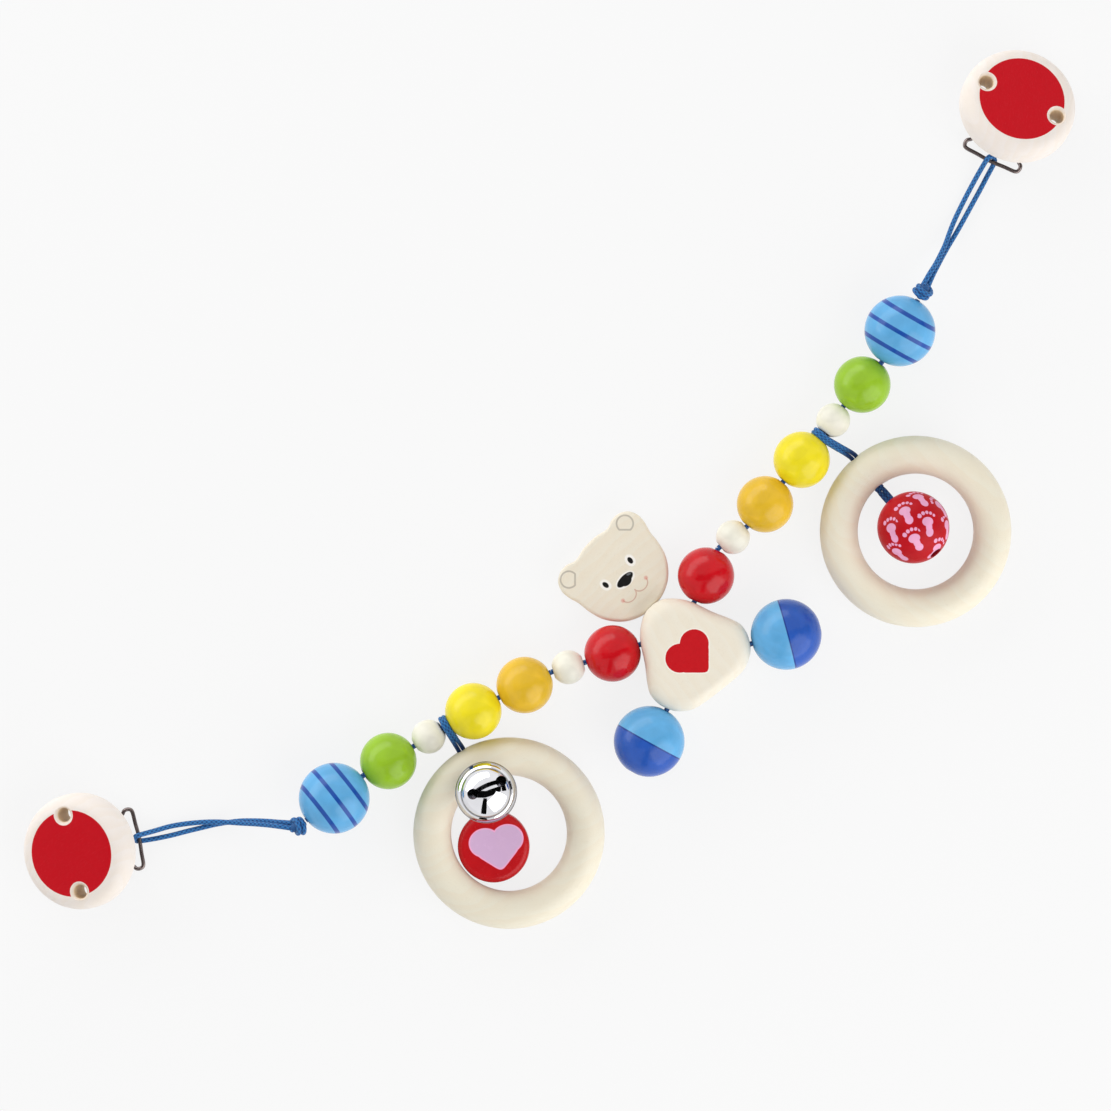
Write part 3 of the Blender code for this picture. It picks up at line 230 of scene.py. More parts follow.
class ClipSettings(bpy.types.PropertyGroup):
    """Sizes and colours of the clips"""

    disc_radius: length_field("Disc radius", "Radius of the wooden disc", 0.0205)
    face_radius: length_field("Face radius", "Radius of the disc's painted face", 0.0153)
    disc_thickness: length_field("Disc thickness", "Thickness of the wooden disc", 0.0100)
    disc_wall: length_field("Disc wall", "Height of the disc's straight wall", 0.0030)
    back_edge: length_field("Back edge", "Easing of the disc's back edge", 0.0006)
    vent_radius: length_field("Vent radius", "Radius of the vents", 0.0025)
    vent_pitch: length_field("Vent pitch", "Between the middles of the vents", 0.0275)
    bare_radius: length_field("Bare radius", "Radius of the bare wood round a vent", 0.0037)
    wood: colour_field("Wood", "Pale wood of the disc", srgb(240, 232, 226))
    paint: colour_field("Paint", "Red paint of the disc's face", srgb(197, 8, 26))
    steel: colour_field("Steel", "Nickel-plated spring steel", srgb(196, 194, 196))
    bar_steel: colour_field("Bar steel", "Browned wire of the cord's bar", srgb(124, 112, 110))
    bar_width: length_field("Bar width", "Across the cord's bar", 0.0226)
    bar_radius: length_field("Bar radius", "Radius of the bar's wire", 0.00065)
    plate_width: length_field("Plate width", "Width of the plate", 0.020)
    plate_start: length_field("Plate start", "From the bar to the plate", 0.0066)
    plate_end: length_field("Plate end", "From the bar to the roots of the plate's teeth", 0.0379)
    sheet: length_field("Sheet", "Thickness of the steel", 0.001)
    sheet_edge: length_field("Sheet edge", "Easing of the steel's edges", 0.0002)
    corner: length_field("Corner", "Rounding of the steel's corners", 0.0030)
    tooth_depth: length_field("Tooth depth", "Depth of the teeth", 0.0014)
    ear_length: length_field("Ear length", "Length of the ears that hold the pin", 0.0064)
    ear_rise: length_field("Ear rise", "How far the ears reach beyond the pin", 0.0024)
    pin_place: length_field("Pin place", "From the bar to the pin", 0.0181)
    pin_height: length_field("Pin height", "Height of the pin over the floor", 0.0050)
    pin_radius: length_field("Pin radius", "Radius of the pin", 0.0012)
    pin_head_radius: length_field("Pin head radius", "Radius of the pin's heads", 0.0019)
    pin_head: length_field("Pin head", "Thickness of the pin's heads", 0.0007)
    lever_tilt: FloatProperty(
        name="Lever tilt", description="Lean of the lever at rest", default=radians(20), unit="ROTATION",
    )
    lever_width: length_field("Lever width", "Width of the lever", 0.0170)
    lever_lift: length_field("Lever lift", "From the pin's middle to the lever", 0.0030)
    lever_thumb: length_field("Lever thumb", "From the pin to the lever's thumb end", 0.0165)
    gap: length_field("Gap", "Clearance between pieces that touch", 0.0003)


class StageSettings(bpy.types.PropertyGroup):
    """Floor, light and camera"""

    floor: colour_field("Floor", "Pale floor", srgb(249, 249, 249))
    fill: share_field("Fill", "Strength of the even light from all round", 0.50)
    window: FloatProperty(name="Window", description="Power of the long low light", default=12.5, unit="POWER")
    softbox: FloatProperty(name="Softbox", description="Power of the square light", default=10.5, unit="POWER")
    calm: share_field("Calm", "Share of the floor's look that its own white gives", 0.88)
    middle_x: FloatProperty(name="Middle X", description="Middle of the picture", default=-0.0481, unit="LENGTH")
    middle_y: FloatProperty(name="Middle Y", description="Middle of the picture", default=0.0351, unit="LENGTH")
    picture_width: length_field("Picture width", "Width of the toy's level that the picture shows", 0.3916)
    level: length_field("Level", "Height at which the picture width holds", 0.010)
    lens: FloatProperty(name="Lens", description="Focal length", default=200, unit="CAMERA")


SETTINGS = {
    "pram_beads": BeadSettings,
    "pram_bear": BearSettings,
    "pram_cord": CordSettings,
    "pram_rings": RingSettings,
    "pram_bell": BellSettings,
    "pram_clips": ClipSettings,
    "pram_stage": StageSettings,
}


# Places

def pivot(joint):
    return Vector(JOINTS[joint]["pos_m"])


def axis(joint):
    return Vector(JOINTS[joint]["axis"])


def on_both_sides(kind, joint):
    """The pivot or the axis of a joint on the left and on the right."""
    return [kind(f"{side}_{joint}") for side in SIDES]


def heading(degrees):
    return Vector((cos(radians(degrees)), sin(radians(degrees)), 0))


def aimed(place, way, up=UP):
    """The placement at a point whose Z runs along a direction, with its X level."""
    z = way.normalized()
    x = z.cross(up).normalized()
    return Matrix.Translation(place) @ Matrix((x, z.cross(x), z)).transposed().to_4x4()


def flat_frame(place, way):
    """The placement at a point whose X runs along a level direction and whose Z is up."""
    return Matrix.Translation(place) @ Matrix.Rotation(atan2(way.y, way.x), 4, "Z")


def rest_frame(side):
    """The placement of a clip's lever at rest, from its joints: X towards the jaw, Z square to the lever."""
    way = UP.cross(axis(f"{side}_clip_swing"))
    lean = Matrix.Rotation(bpy.context.scene.pram_clips.lever_tilt, 4, "Y")
    return flat_frame(pivot(f"{side}_lever_press"), way) @ lean


def curve_point(before, start, end, after, share):
    """The point this share of the way from start to end, on a smooth curve through all four."""
    bend = (before * 2 - start * 5 + end * 4 - after) * share**2
    sway = (start * 3 - before - end * 3 + after) * share**3
    return (start * 2 + (end - before) * share + bend + sway) / 2


def smooth_line(points, spacing):
    """Points of one smooth curve through these, about a spacing apart."""
    through = [points[0] * 2 - points[1], *points, points[-1] * 2 - points[-2]]
    line = [points[0].copy()]
    for before, start, end, after in zip(through, through[1:], through[2:], through[3:]):
        count = max(1, round((end - start).length / spacing))
        line += [curve_point(before, start, end, after, index / count) for index in range(1, count + 1)]
    return line


def line_length(points):
    return sum((end - start).length for start, end in zip(points, points[1:]))


# Shader nodes

class Wire:
    """A value on its way through a material, which adds and multiplies like a number."""

    def __init__(self, socket):
        self.socket = socket
        self.tree = socket.id_data

    def __add__(self, other):
        return sums("ADD", self, other)

    def __sub__(self, other):
        return sums("SUBTRACT", self, other)

    def __mul__(self, other):
        return sums("MULTIPLY", self, other)

    def __truediv__(self, other):
        return sums("DIVIDE", self, other)

    def __abs__(self):
        return sums("ABSOLUTE", self)


def feed(socket, value):
    """Gives an input a fixed value, or links it to what a wire brings."""
    if isinstance(value, Wire):
        value.tree.links.new(value.socket, socket)
    elif socket.type == "RGBA":
        socket.default_value = (*value[:3], 1)
    else:
        socket.default_value = value


def put(tree, kind, inputs=None, **choices):
    """A node with its choices made and its inputs fed."""
    node = tree.nodes.new(kind)
    for name, value in choices.items():
        setattr(node, name, value)
    for key, value in (inputs or {}).items():
        feed(node.inputs[key], value)
    return node


def tree_of(values):
    return next(value.tree for value in values if isinstance(value, Wire))


def sums(operation, *values):
    node = put(tree_of(values), "ShaderNodeMath", dict(enumerate(values)), operation=operation)
    return Wire(node.outputs[0])


def arrows(operation, *values):
    node = put(tree_of(values), "ShaderNodeVectorMath", dict(enumerate(values)), operation=operation)
    return Wire(node.outputs["Value" if operation in ("LENGTH", "DISTANCE") else "Vector"])


def between(value, low, high, start=0.0, end=1.0):
    """The value taken from one span to another, eased at both ends."""
    spans = {"Value": value, "From Min": low, "From Max": high, "To Min": start, "To Max": end}
    node = put(value.tree, "ShaderNodeMapRange", spans, interpolation_type="SMOOTHSTEP")
    return Wire(node.outputs["Result"])


def blend(share, below, above, kind="MIX"):
    """One colour over another by a share."""
    node = tree_of((share, below, above)).nodes.new("ShaderNodeMix")
    node.data_type = "RGBA"
    node.blend_type = kind
    for number, value in ((0, share), (6, below), (7, above)):
        feed(node.inputs[number], value)
    return Wire(node.outputs[2])


def mapped(vector, place=(0, 0, 0), turn=(0, 0, 0), size=(1, 1, 1)):
    """The vector as seen from a placement: moved to it, turned into it and measured in its size."""
    inputs = {"Vector": vector, "Location": place, "Rotation": turn, "Scale": size}
    return Wire(put(vector.tree, "ShaderNodeMapping", inputs, vector_type="TEXTURE").outputs[0])


def xyz(vector):
    return [Wire(socket) for socket in put(vector.tree, "ShaderNodeSeparateXYZ", {0: vector}).outputs]


def joined(x, y, z=0.0):
    return Wire(put(x.tree, "ShaderNodeCombineXYZ", {0: x, 1: y, 2: z}).outputs[0])


def shaded(colour, shade):
    """A colour darkened to this share of itself."""
    grey = Wire(put(shade.tree, "ShaderNodeCombineColor", {0: shade, 1: shade, 2: shade}).outputs[0])
    return blend(1.0, colour, grey, "MULTIPLY")


def noise(vector, scale, detail=2.0, roughness=0.5):
    inputs = {"Vector": vector, "Scale": scale, "Detail": detail, "Roughness": roughness}
    return Wire(put(vector.tree, "ShaderNodeTexNoise", inputs).outputs[0])


EFFECTS = {}


def effect(name, outputs, **inputs):
    """Keeps a function as a shared effect, which reckons these outputs from a place and these inputs."""
    def keep(maker):
        EFFECTS[name] = maker, outputs, inputs
        return maker
    return keep


def make_group(name):
    """The node group of a shared effect."""
    maker, outputs, inputs = EFFECTS[name]
    tree = bpy.data.node_groups.new(name, "ShaderNodeTree")
    tree.interface.new_socket("Place", in_out="INPUT", socket_type="NodeSocketVector")
    for label, value in inputs.items():
        socket = tree.interface.new_socket(label, in_out="INPUT", socket_type="NodeSocketFloat")
        socket.default_value = value
    for label in outputs:
        tree.interface.new_socket(label, in_out="OUTPUT", socket_type="NodeSocketFloat")
    given = [Wire(socket) for socket in tree.nodes.new("NodeGroupInput").outputs[:1 + len(inputs)]]
    taken = tree.nodes.new("NodeGroupOutput").inputs
    for socket, value in zip(taken, maker(*given)):
        feed(socket, value)
    return tree


def use(name, place, **values):
    """A shared effect placed in a material with its own values. Returns its outputs by name."""
    tree = bpy.data.node_groups.get(name) or make_group(name)
    node = put(place.tree, "ShaderNodeGroup", node_tree=tree)
    for label, value in {"Place": place, **values}.items():
        feed(node.inputs[label], value)
    return {socket.name: Wire(socket) for socket in node.outputs}


@effect("wood grain", ("Bands", "Fibres", "Pores", "Height"), Band=0.004)
def wood_grain(place, band):
    """Straight-grained pale wood: growth bands, fine fibres and short pores, all along X."""
    wander = noise(mapped(place, size=(0.03, 0.012, 0.012)), 1.0)
    _, y, z = xyz(place)
    saw = sums("FRACT", (y + z * 0.35) / band + wander * 3.0)
    bands = between(saw, 0.0, 0.8) * between(saw, 1.0, 0.9)
    fibres = noise(mapped(place, size=(0.006, 0.00022, 0.00022)), 1.0, 3.0, 0.6)
    pores = between(noise(mapped(place, size=(0.0011, 0.00010, 0.00010)), 1.0, 1.0), 0.66, 0.74)
    return bands, fibres, pores, fibres - pores * 0.9


@effect("lacquer film", ("Tone", "Peel", "Rub", "Specks"))
def lacquer_film(place):
    """A sprayed lacquer film: slow unevenness, a faint peel, rubbed spots and specks of dust."""
    rub = between(noise(place, 320.0, 4.0, 0.65), 0.52, 0.72)
    specks = between(noise(place, 2600.0, 1.0), 0.76, 0.80)
    return noise(place, 140.0), noise(place, 900.0), rub, specks


@effect("ellipse", ("Outside",))
def ellipse(place):
    """How far a point lies outside the unit circle of X and Y, below zero inside."""
    x, y, _ = xyz(place)
    return [arrows("LENGTH", joined(x, y)) - 1.0]


@effect("heart", ("Outside",))
def heart_shape(place):
    """How far a point lies outside a heart: a unit square with its tip at zero and a round lobe on two sides."""
    x, y, _ = xyz(place)
    square = sums("SMOOTH_MAX", abs(x + 0.5) - 0.5, abs(y - 0.5) - 0.5, TIP_ROUNDING)
    flat = joined(x, y)
    lobes = [arrows("DISTANCE", flat, middle) - 0.5 for middle in ((-0.5, 1.0, 0.0), (-1.0, 0.5, 0.0))]
    return [sums("MINIMUM", square, sums("MINIMUM", *lobes))]


@effect("footprint", ("Mask",))
def footprint(place):
    """The mask of one small footprint, one unit long, its toes towards Y."""
    nearest = None
    for x, y, wide, tall in SOLE_PARTS + tuple((x, y, radius, radius) for x, y, radius in TOES):
        oval = use("ellipse", mapped(place, (x, y, 0), size=(wide, tall, 1)))["Outside"] * min(wide, tall)
        nearest = sums("MINIMUM", nearest, oval) if nearest else oval
    front = sums("GREATER_THAN", xyz(place)[2], 0.0)
    return [between(nearest, PRINT_SOFTNESS, -PRINT_SOFTNESS) * front]


@effect("cord plait", ("Yarn", "Fold", "Height"), Repeat=0.0017)
def cord_plait(place, repeat):
    """A braided cord from the distance along it and the direction round it: crossing yarns, folds between."""
    along, across, up = xyz(place)
    turn = sums("ARCTAN2", up, across) * (1 / (2 * pi))
    step = along / repeat
    heights = [sums("SINE", (step + turn * lean) * (2 * pi)) * 0.5 + 0.5 for lean in (YARNS, -YARNS)]
    yarn = sums("MAXIMUM", *heights)
    threads = sums("SINE", (step + turn * YARNS) * (THREADS * 2 * pi))
    return sums("MINIMUM", *heights), between(yarn, 0.75, 0.35), threads * 0.12 + yarn


# Materials

def new_material(name, roughness, metallic=0.0, coat=0.0, shine=0.5):
    """A material, and the inputs of its shader, which keep every value that is the same all over."""
    material = bpy.data.materials.new(name)
    material.use_nodes = True
    inputs = material.node_tree.nodes["Principled BSDF"].inputs
    for label, value in (
        ("Roughness", roughness), ("Metallic", metallic), ("Coat Weight", coat),
        ("Coat Roughness", WAX_ROUGHNESS), ("Specular IOR Level", shine),
    ):
        inputs[label].default_value = value
    return material, inputs


def object_place(material):
    return Wire(put(material.node_tree, "ShaderNodeTexCoord").outputs["Object"])


def own_place(material, name="own_place"):
    return Wire(put(material.node_tree, "ShaderNodeAttribute", attribute_name=name).outputs["Vector"])


def coloured(inputs, tint, rough, height, depth):
    """Gives a shader its colour, its roughness and the relief of its surface."""
    feed(inputs["Base Color"], tint)
    feed(inputs["Roughness"], rough)
    relief = put(height.tree, "ShaderNodeBump", {"Height": height, "Distance": depth, "Strength": 1.0})
    feed(inputs["Normal"], Wire(relief.outputs[0]))


def lacquer(name, paint, gloss=0.17, shine=0.27):
    """Gloss lacquer over turned wood. paint is a colour, or gives one for the bead's own place."""
    material, inputs = new_material(name, gloss, shine=shine)
    place = own_place(material)
    film = use("lacquer film", place)
    grain = use("wood grain", mapped(place, turn=(0, pi / 2, 0)), Band=0.0028)
    x, y, _ = xyz(place)
    bore_shade = between(sums("SQRT", x * x + y * y), 0.0021, 0.0029, 0.62, 1.0)
    shade = between(film["Tone"], 0.3, 0.7, 0.93, 1.05) - grain["Bands"] * 0.035 - film["Specks"] * 0.12
    tint = shaded(paint(place) if callable(paint) else paint, shade * bore_shade)
    relief = grain["Height"] * 0.35 + film["Peel"]
    coloured(inputs, tint, film["Rub"] * 0.10 + gloss, relief, LACQUER_RELIEF)
    return material


def pale_wood(name, colour, place_from, paint=None, band=0.0042, roughness=0.46, contrast=1.0, shine=0.35):
    """Waxed pale wood with paint laid over it. place_from gives the material's place, its grain along X."""
    material, inputs = new_material(name, roughness, coat=0.08, shine=shine)
    place = place_from(material)
    grain = use("wood grain", place, Band=band)
    tint = blend(grain["Bands"] * (0.17 * contrast), tuple(colour), WARM_WOOD)
    tint = blend(between(grain["Fibres"], 0.35, 0.7, 0.0, 0.10 * contrast), tint, WARM_WOOD)
    tint = blend(grain["Pores"] * (0.22 * contrast), tint, PORE_BROWN)
    tint = blend(between(noise(place, 55.0, 3.0), 0.35, 0.75, 0.0, 0.10), tint, STAIN)
    rough, relief = grain["Fibres"] * 0.14 + (roughness - 0.07), grain["Height"]
    if paint:
        tint, cover = paint(material, tint)
        rough, relief = cover * -0.16 + rough, cover * 0.8 + relief
    coloured(inputs, tint, rough, relief, WOOD_RELIEF)
    return material


def cord_material(name, blue, navy, shadow_reach=None):
    """Plaited cord, with a painted highlight where its yarns cross and painted shade in its folds. The last
    argument gives how far along a strand from its start a painted shadow in navy reaches.
    """
    material, inputs = new_material(name, 0.62, shine=0.3)
    strand = own_place(material, "strand_place")
    plait = use("cord plait", strand, Repeat=bpy.context.scene.pram_cord.plait)
    fuzz = noise(object_place(material), 5200.0, 3.0)
    # Painted highlight where the yarns cross on top, and painted shade in the plait's folds between them
    tint = blend(between(plait["Yarn"], 0.2, 0.9, 0.0, 0.35), blue, srgb(78, 152, 204))
    tint = blend(plait["Fold"] * 0.8, tint, navy)
    tint = blend(between(fuzz, 0.35, 0.7, 0.0, 0.22), tint, srgb(20, 70, 140))
    # Painted shadow: navy over the first stretch of each strand, where it leaves the ring
    if shadow_reach:
        tint = blend(between(xyz(strand)[0], shadow_reach, shadow_reach * 0.4, 0.0, 0.85), tint, navy)
    coloured(inputs, tint, fuzz * 0.3 + 0.42, fuzz * 0.25 + plait["Height"], PLAIT_RELIEF)
    inputs["Sheen Weight"].default_value = 0.15


def plated(name, colour, rough, streak, peel=0.00001, painted_shade=None):
    """Plated metal. The last argument gives the share of the colour that painted shade takes away at a place, and
    it also dulls the plate there.
    """
    material, inputs = new_material(name, rough, metallic=1.0)
    place = object_place(material)
    film = use("lacquer film", place)
    drawn = noise(mapped(place, size=(0.012, 0.0002, 0.0002)), 1.0, 3.0)
    dull = film["Rub"] * streak + (drawn * (streak * 0.5) + rough * 0.7)
    shade = between(film["Tone"], 0.3, 0.7, 0.88, 1.0)
    if painted_shade:
        # Painted shade: the colour is darkened by this share, and the plate is made rougher there
        shade_share = painted_shade(place)
        shade, dull = shade * sums("SUBTRACT", 1.0, shade_share), shade_share * 0.25 + dull
    coloured(inputs, shaded(tuple(colour), shade), dull, film["Peel"], peel)
    return material


# Pieces

def finish_piece(name, bm, body, material, replaces=(), placement=None, angle=40, strand=False):
    """Makes a bmesh one object at the origin, with its place in its mesh and its own place as an attribute."""
    bmesh.ops.remove_doubles(bm, verts=bm.verts, dist=0.0000005)
    bmesh.ops.recalc_face_normals(bm, faces=bm.faces)
    mesh = bpy.data.meshes.new(name)
    bm.to_mesh(mesh)
    bm.free()
    if not strand:
        attribute = mesh.attributes.new("own_place", "FLOAT_VECTOR", "POINT")
        attribute.data.foreach_set("vector", [number for vertex in mesh.vertices for number in vertex.co])
    if placement:
        mesh.transform(placement)
    mesh.materials.append(bpy.data.materials[material] if isinstance(material, str) else material)
    mesh.shade_smooth()
    mesh.set_sharp_from_angle(angle=radians(angle))
    piece = bpy.data.objects.new(name, mesh)
    bpy.context.scene.collection.objects.link(piece)
    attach(piece, body)
    if replaces:
        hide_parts(*replaces)
    return piece


def finish_cord(name, bm, body, node, material="plaited_cord"):
    """A piece made of strands."""
    return finish_piece(name, bm, body, material, [node], strand=True, angle=60)


def dress(node, material):
    """Gives a node of the frame a better material."""
    mesh = frame["nodes"][node].data
    mesh.materials.clear()
    mesh.materials.append(material)


def spun(profile, steps, closed=True):
    """A bmesh of a profile of (radius, height) turned about Z."""
    bm = bmesh.new()
    points = [bm.verts.new((radius, 0, height)) for radius, height in profile]
    pairs = list(zip(points, points[1:])) + ([(points[-1], points[0])] if closed else [])
    edges = [bm.edges.new(pair) for pair in pairs]
    bmesh.ops.spin(bm, geom=points + edges, cent=ORIGIN, axis=UP, angle=2 * pi, steps=steps, use_merge=True)
    bmesh.ops.remove_doubles(bm, verts=bm.verts, dist=0.000001)
    return bm


def bar_between(start, end, radius, steps=32, end_radius=None):
    """A bmesh cylinder or cone from start to end."""
    bm = bmesh.new()
    way = end - start
    up = UP if abs(way.normalized().z) < 0.98 else Vector((1, 0, 0))
    bmesh.ops.create_cone(
        bm, cap_ends=True, segments=steps, radius1=radius, radius2=end_radius or radius, depth=way.length,
        matrix=aimed((start + end) / 2, way, up),
    )
    return bm


def raise_face(bm, outline, height):
    """Draws an outline as a face and raises it into a closed block."""
    face = bm.faces.new([bm.verts.new(point) for point in outline])
    grown = bmesh.ops.extrude_face_region(bm, geom=[face, *face.edges])["geom"]
    raised = [item for item in grown if isinstance(item, bmesh.types.BMVert)]
    bmesh.ops.translate(bm, vec=UP * height, verts=raised)


def split_big_faces(bm):
    bmesh.ops.triangulate(bm, faces=[face for face in bm.faces if len(face.verts) > 4])


def cut(bm, cutters, operation="DIFFERENCE"):
    """Cuts or joins closed bmeshes and gives the result as a bmesh."""
    def stand(source, name):
        mesh = bpy.data.meshes.new(name)
        bmesh.ops.recalc_face_normals(source, faces=source.faces)
        source.to_mesh(mesh)
        source.free()
        obj = bpy.data.objects.new(name, mesh)
        bpy.context.scene.collection.objects.link(obj)
        return obj

    work = stand(bm, "work")
    tools = [stand(cutter, "cutter") for cutter in cutters]
    for tool in tools:
        modifier = work.modifiers.new("cut", "BOOLEAN")
        modifier.operation = operation
        modifier.object = tool
        modifier.solver = "EXACT"
    bpy.context.view_layer.update()
    made = bpy.data.meshes.new_from_object(work.evaluated_get(bpy.context.evaluated_depsgraph_get()))
    out = bmesh.new()
    out.from_mesh(made)
    bpy.data.meshes.remove(made)
    for obj in (work, *tools):
        mesh = obj.data
        bpy.data.objects.remove(obj, do_unlink=True)
        bpy.data.meshes.remove(mesh)
    return out


def bead_profile(radius, bore, mouth):
    """A ball with a bore along Z, its mouths rounded over."""
    arc_steps, lip_steps, sink = 39, 4, mouth * 0.8
    edge = asin((bore + mouth) / radius)
    top = sqrt(radius**2 - (bore + mouth) ** 2)
    arc = [edge + (pi - 2 * edge) * index / arc_steps for index in range(arc_steps + 1)]
    lip = [radians(90) * index / lip_steps for index in range(1, lip_steps + 1)]
    down = [(bore + mouth * (1 - sin(a)), top - sink * (1 - cos(a))) for a in lip]
    return [(radius * sin(a), radius * cos(a)) for a in arc] + [(r, -z) for r, z in down] + down[::-1]


def make_bead(name, radius, joint, body, material):
    beads = bpy.context.scene.pram_beads
    bm = spun(bead_profile(radius, beads.bore_radius, beads.mouth), beads.steps)
    placement = aimed(pivot(joint), axis(joint))
    finish_piece(name + "_lacquered", bm, body, material, [name], placement)


def directions(points):
    """The way along a line at each of its points."""
    last = len(points) - 1
    return [points[min(index + 1, last)] - points[max(index - 1, 0)] for index in range(last + 1)]


def carried_frames(points):
    """A frame at each point of a line, turned as little as may be from one to the next."""
    ways = [way.normalized() for way in directions(points)]
    side = ways[0].cross(UP if abs(ways[0].z) < 0.9 else Vector((1, 0, 0))).normalized()
    frames = []
    for point, way in zip(points, ways):
        side = (side - way * side.dot(way)).normalized()
        frames.append(Matrix.Translation(point) @ Matrix((side, way.cross(side), way)).transposed().to_4x4())
    return frames


def sweep(bm, frames, radius, sides, start=0.0):
    """Carries a small ring along the frames, closed at both ends, and notes where each point lies on it."""
    layer = bm.verts.layers.float_vector
    layer = layer.get("strand_place") or layer.new("strand_place")
    made = bmesh.ops.create_circle(bm, cap_ends=True, segments=sides, radius=radius, matrix=frames[0])
    ring = made["verts"]
    edges = list({edge for vertex in ring for edge in vertex.link_edges})
    travelled = start

    def note(vertices, placement):
        back = placement.inverted()
        for vertex in vertices:
            local = back @ vertex.co
            vertex[layer] = (travelled, local.x / radius, local.y / radius)

    note(ring, frames[0])
    for before, after in zip(frames, frames[1:]):
        grown = bmesh.ops.extrude_edge_only(bm, edges=edges)["geom"]
        ring = [item for item in grown if isinstance(item, bmesh.types.BMVert)]
        edges = [item for item in grown if isinstance(item, bmesh.types.BMEdge)]
        bmesh.ops.transform(bm, matrix=after @ before.inverted(), verts=ring)
        travelled += (after.translation - before.translation).length
        note(ring, after)
    bmesh.ops.edgeloop_fill(bm, edges=edges)


def strand_piece(name, lines, body, node, radius=None, start=0.0, material="dark_cord"):
    """One piece of several strands, each along its own line."""
    cord = bpy.context.scene.pram_cord
    bm = bmesh.new()
    for points in lines:
        sweep(bm, carried_frames(points), radius or cord.radius, cord.sides, start)
    finish_cord(name, bm, body, node, material)


def pair_lines(points, spacing, upright=False):
    """The lines of two strands along a centre line, side by side or one over the other."""
    cord = bpy.context.scene.pram_cord
    half = cord.radius * cord.pitch_share
    step = Vector((0, half, 0)) if upright else Vector((half, 0, 0))
    line = smooth_line(points, spacing)
    frames = [aimed(point, way) for point, way in zip(line, directions(line))]
    return [[place @ (step * sign) for place in frames] for sign in (1, -1)]


class PRAM_OT_finishes(bpy.types.Operator):
    """Makes the materials that several pieces share"""

    bl_idname = "pram.finishes"
    bl_label = "Shared finishes"

    def execute(self, context):
        beads, cord, clips = context.scene.pram_beads, context.scene.pram_cord, context.scene.pram_clips
        for label in ("red", "white", "amber", "yellow", "green"):
            lacquer(f"lacquer_{label}", tuple(getattr(beads, label)), 0.28 if label == "white" else 0.17)

        def stripes(place):
            level = xyz(place)[2] / beads.big_radius
            lines = [between(abs(level - middle), 0.068, 0.050) for middle in STRIPES]
            mask = sums("MAXIMUM", sums("MAXIMUM", lines[0], lines[1]), lines[2])
            return blend(mask, tuple(beads.light_blue), tuple(beads.stripe_blue))

        def halves(place):
            level = xyz(place)[2]
            tint = blend(between(level, -0.00008, 0.00008), tuple(beads.light_blue), tuple(beads.dark_blue))
            seam = between(abs(level - 0.0002), 0.0004, 0.0001, 0.0, 0.65)
            return blend(seam, tint, srgb(16, 34, 110))

        lacquer("lacquer_striped", stripes)
        lacquer("lacquer_two_blues", halves)

        blue, navy = tuple(cord.blue), tuple(cord.navy)
        cord_material("plaited_cord", blue, navy)
        # The tab cord's strands start in the rings' bores and get a painted shadow there
        cord_material("tab_cord", blue, navy, shadow_reach=0.0085)
        # A darker copy of the cord: painted shade, for the strands that lie between beads and hang in the rings
        cord_material("dark_cord", srgb(24, 76, 140), navy)
        plated("spring_steel", clips.steel, 0.22, 0.16)
        plated("browned_wire", clips.bar_steel, 0.34, 0.16)
        return {"FINISHED"}


class PRAM_OT_beads(bpy.types.Operator):
    """Turns the beads of both strings and the bear's feet"""

    bl_idname = "pram.beads"
    bl_label = "Beads"

    def execute(self, context):
        beads = context.scene.pram_beads
        sizes = {"white_inner": beads.small_radius, "white_outer": beads.small_radius, "striped": beads.big_radius}
        for side in SIDES:
            for bead in BEADS:
                colour = bead.split("_")[0]
                make_bead(
                    f"{side}_{bead}_bead", sizes.get(bead, beads.medium_radius), f"{side}_{bead}_spin",
                    f"{side}_{bead}_turning", f"lacquer_{colour}",
                )
            make_bead(
                f"{side}_foot_bead", beads.big_radius, f"{side}_foot_spin", f"{side}_foot_turning",
                "lacquer_two_blues",
            )
        return {"FINISHED"}


def hip_bores():
    """The mouths of the two hip bores, the ways out of them, and how deep they lie where they meet."""
    hips, ways = on_both_sides(pivot, "foot_swing"), on_both_sides(axis, "foot_spin")
    spread = acos(max(-1.0, min(1.0, ways[0].dot(ways[1])))) / 2
    return hips, ways, (hips[1] - hips[0]).length / 2 / sin(spread)


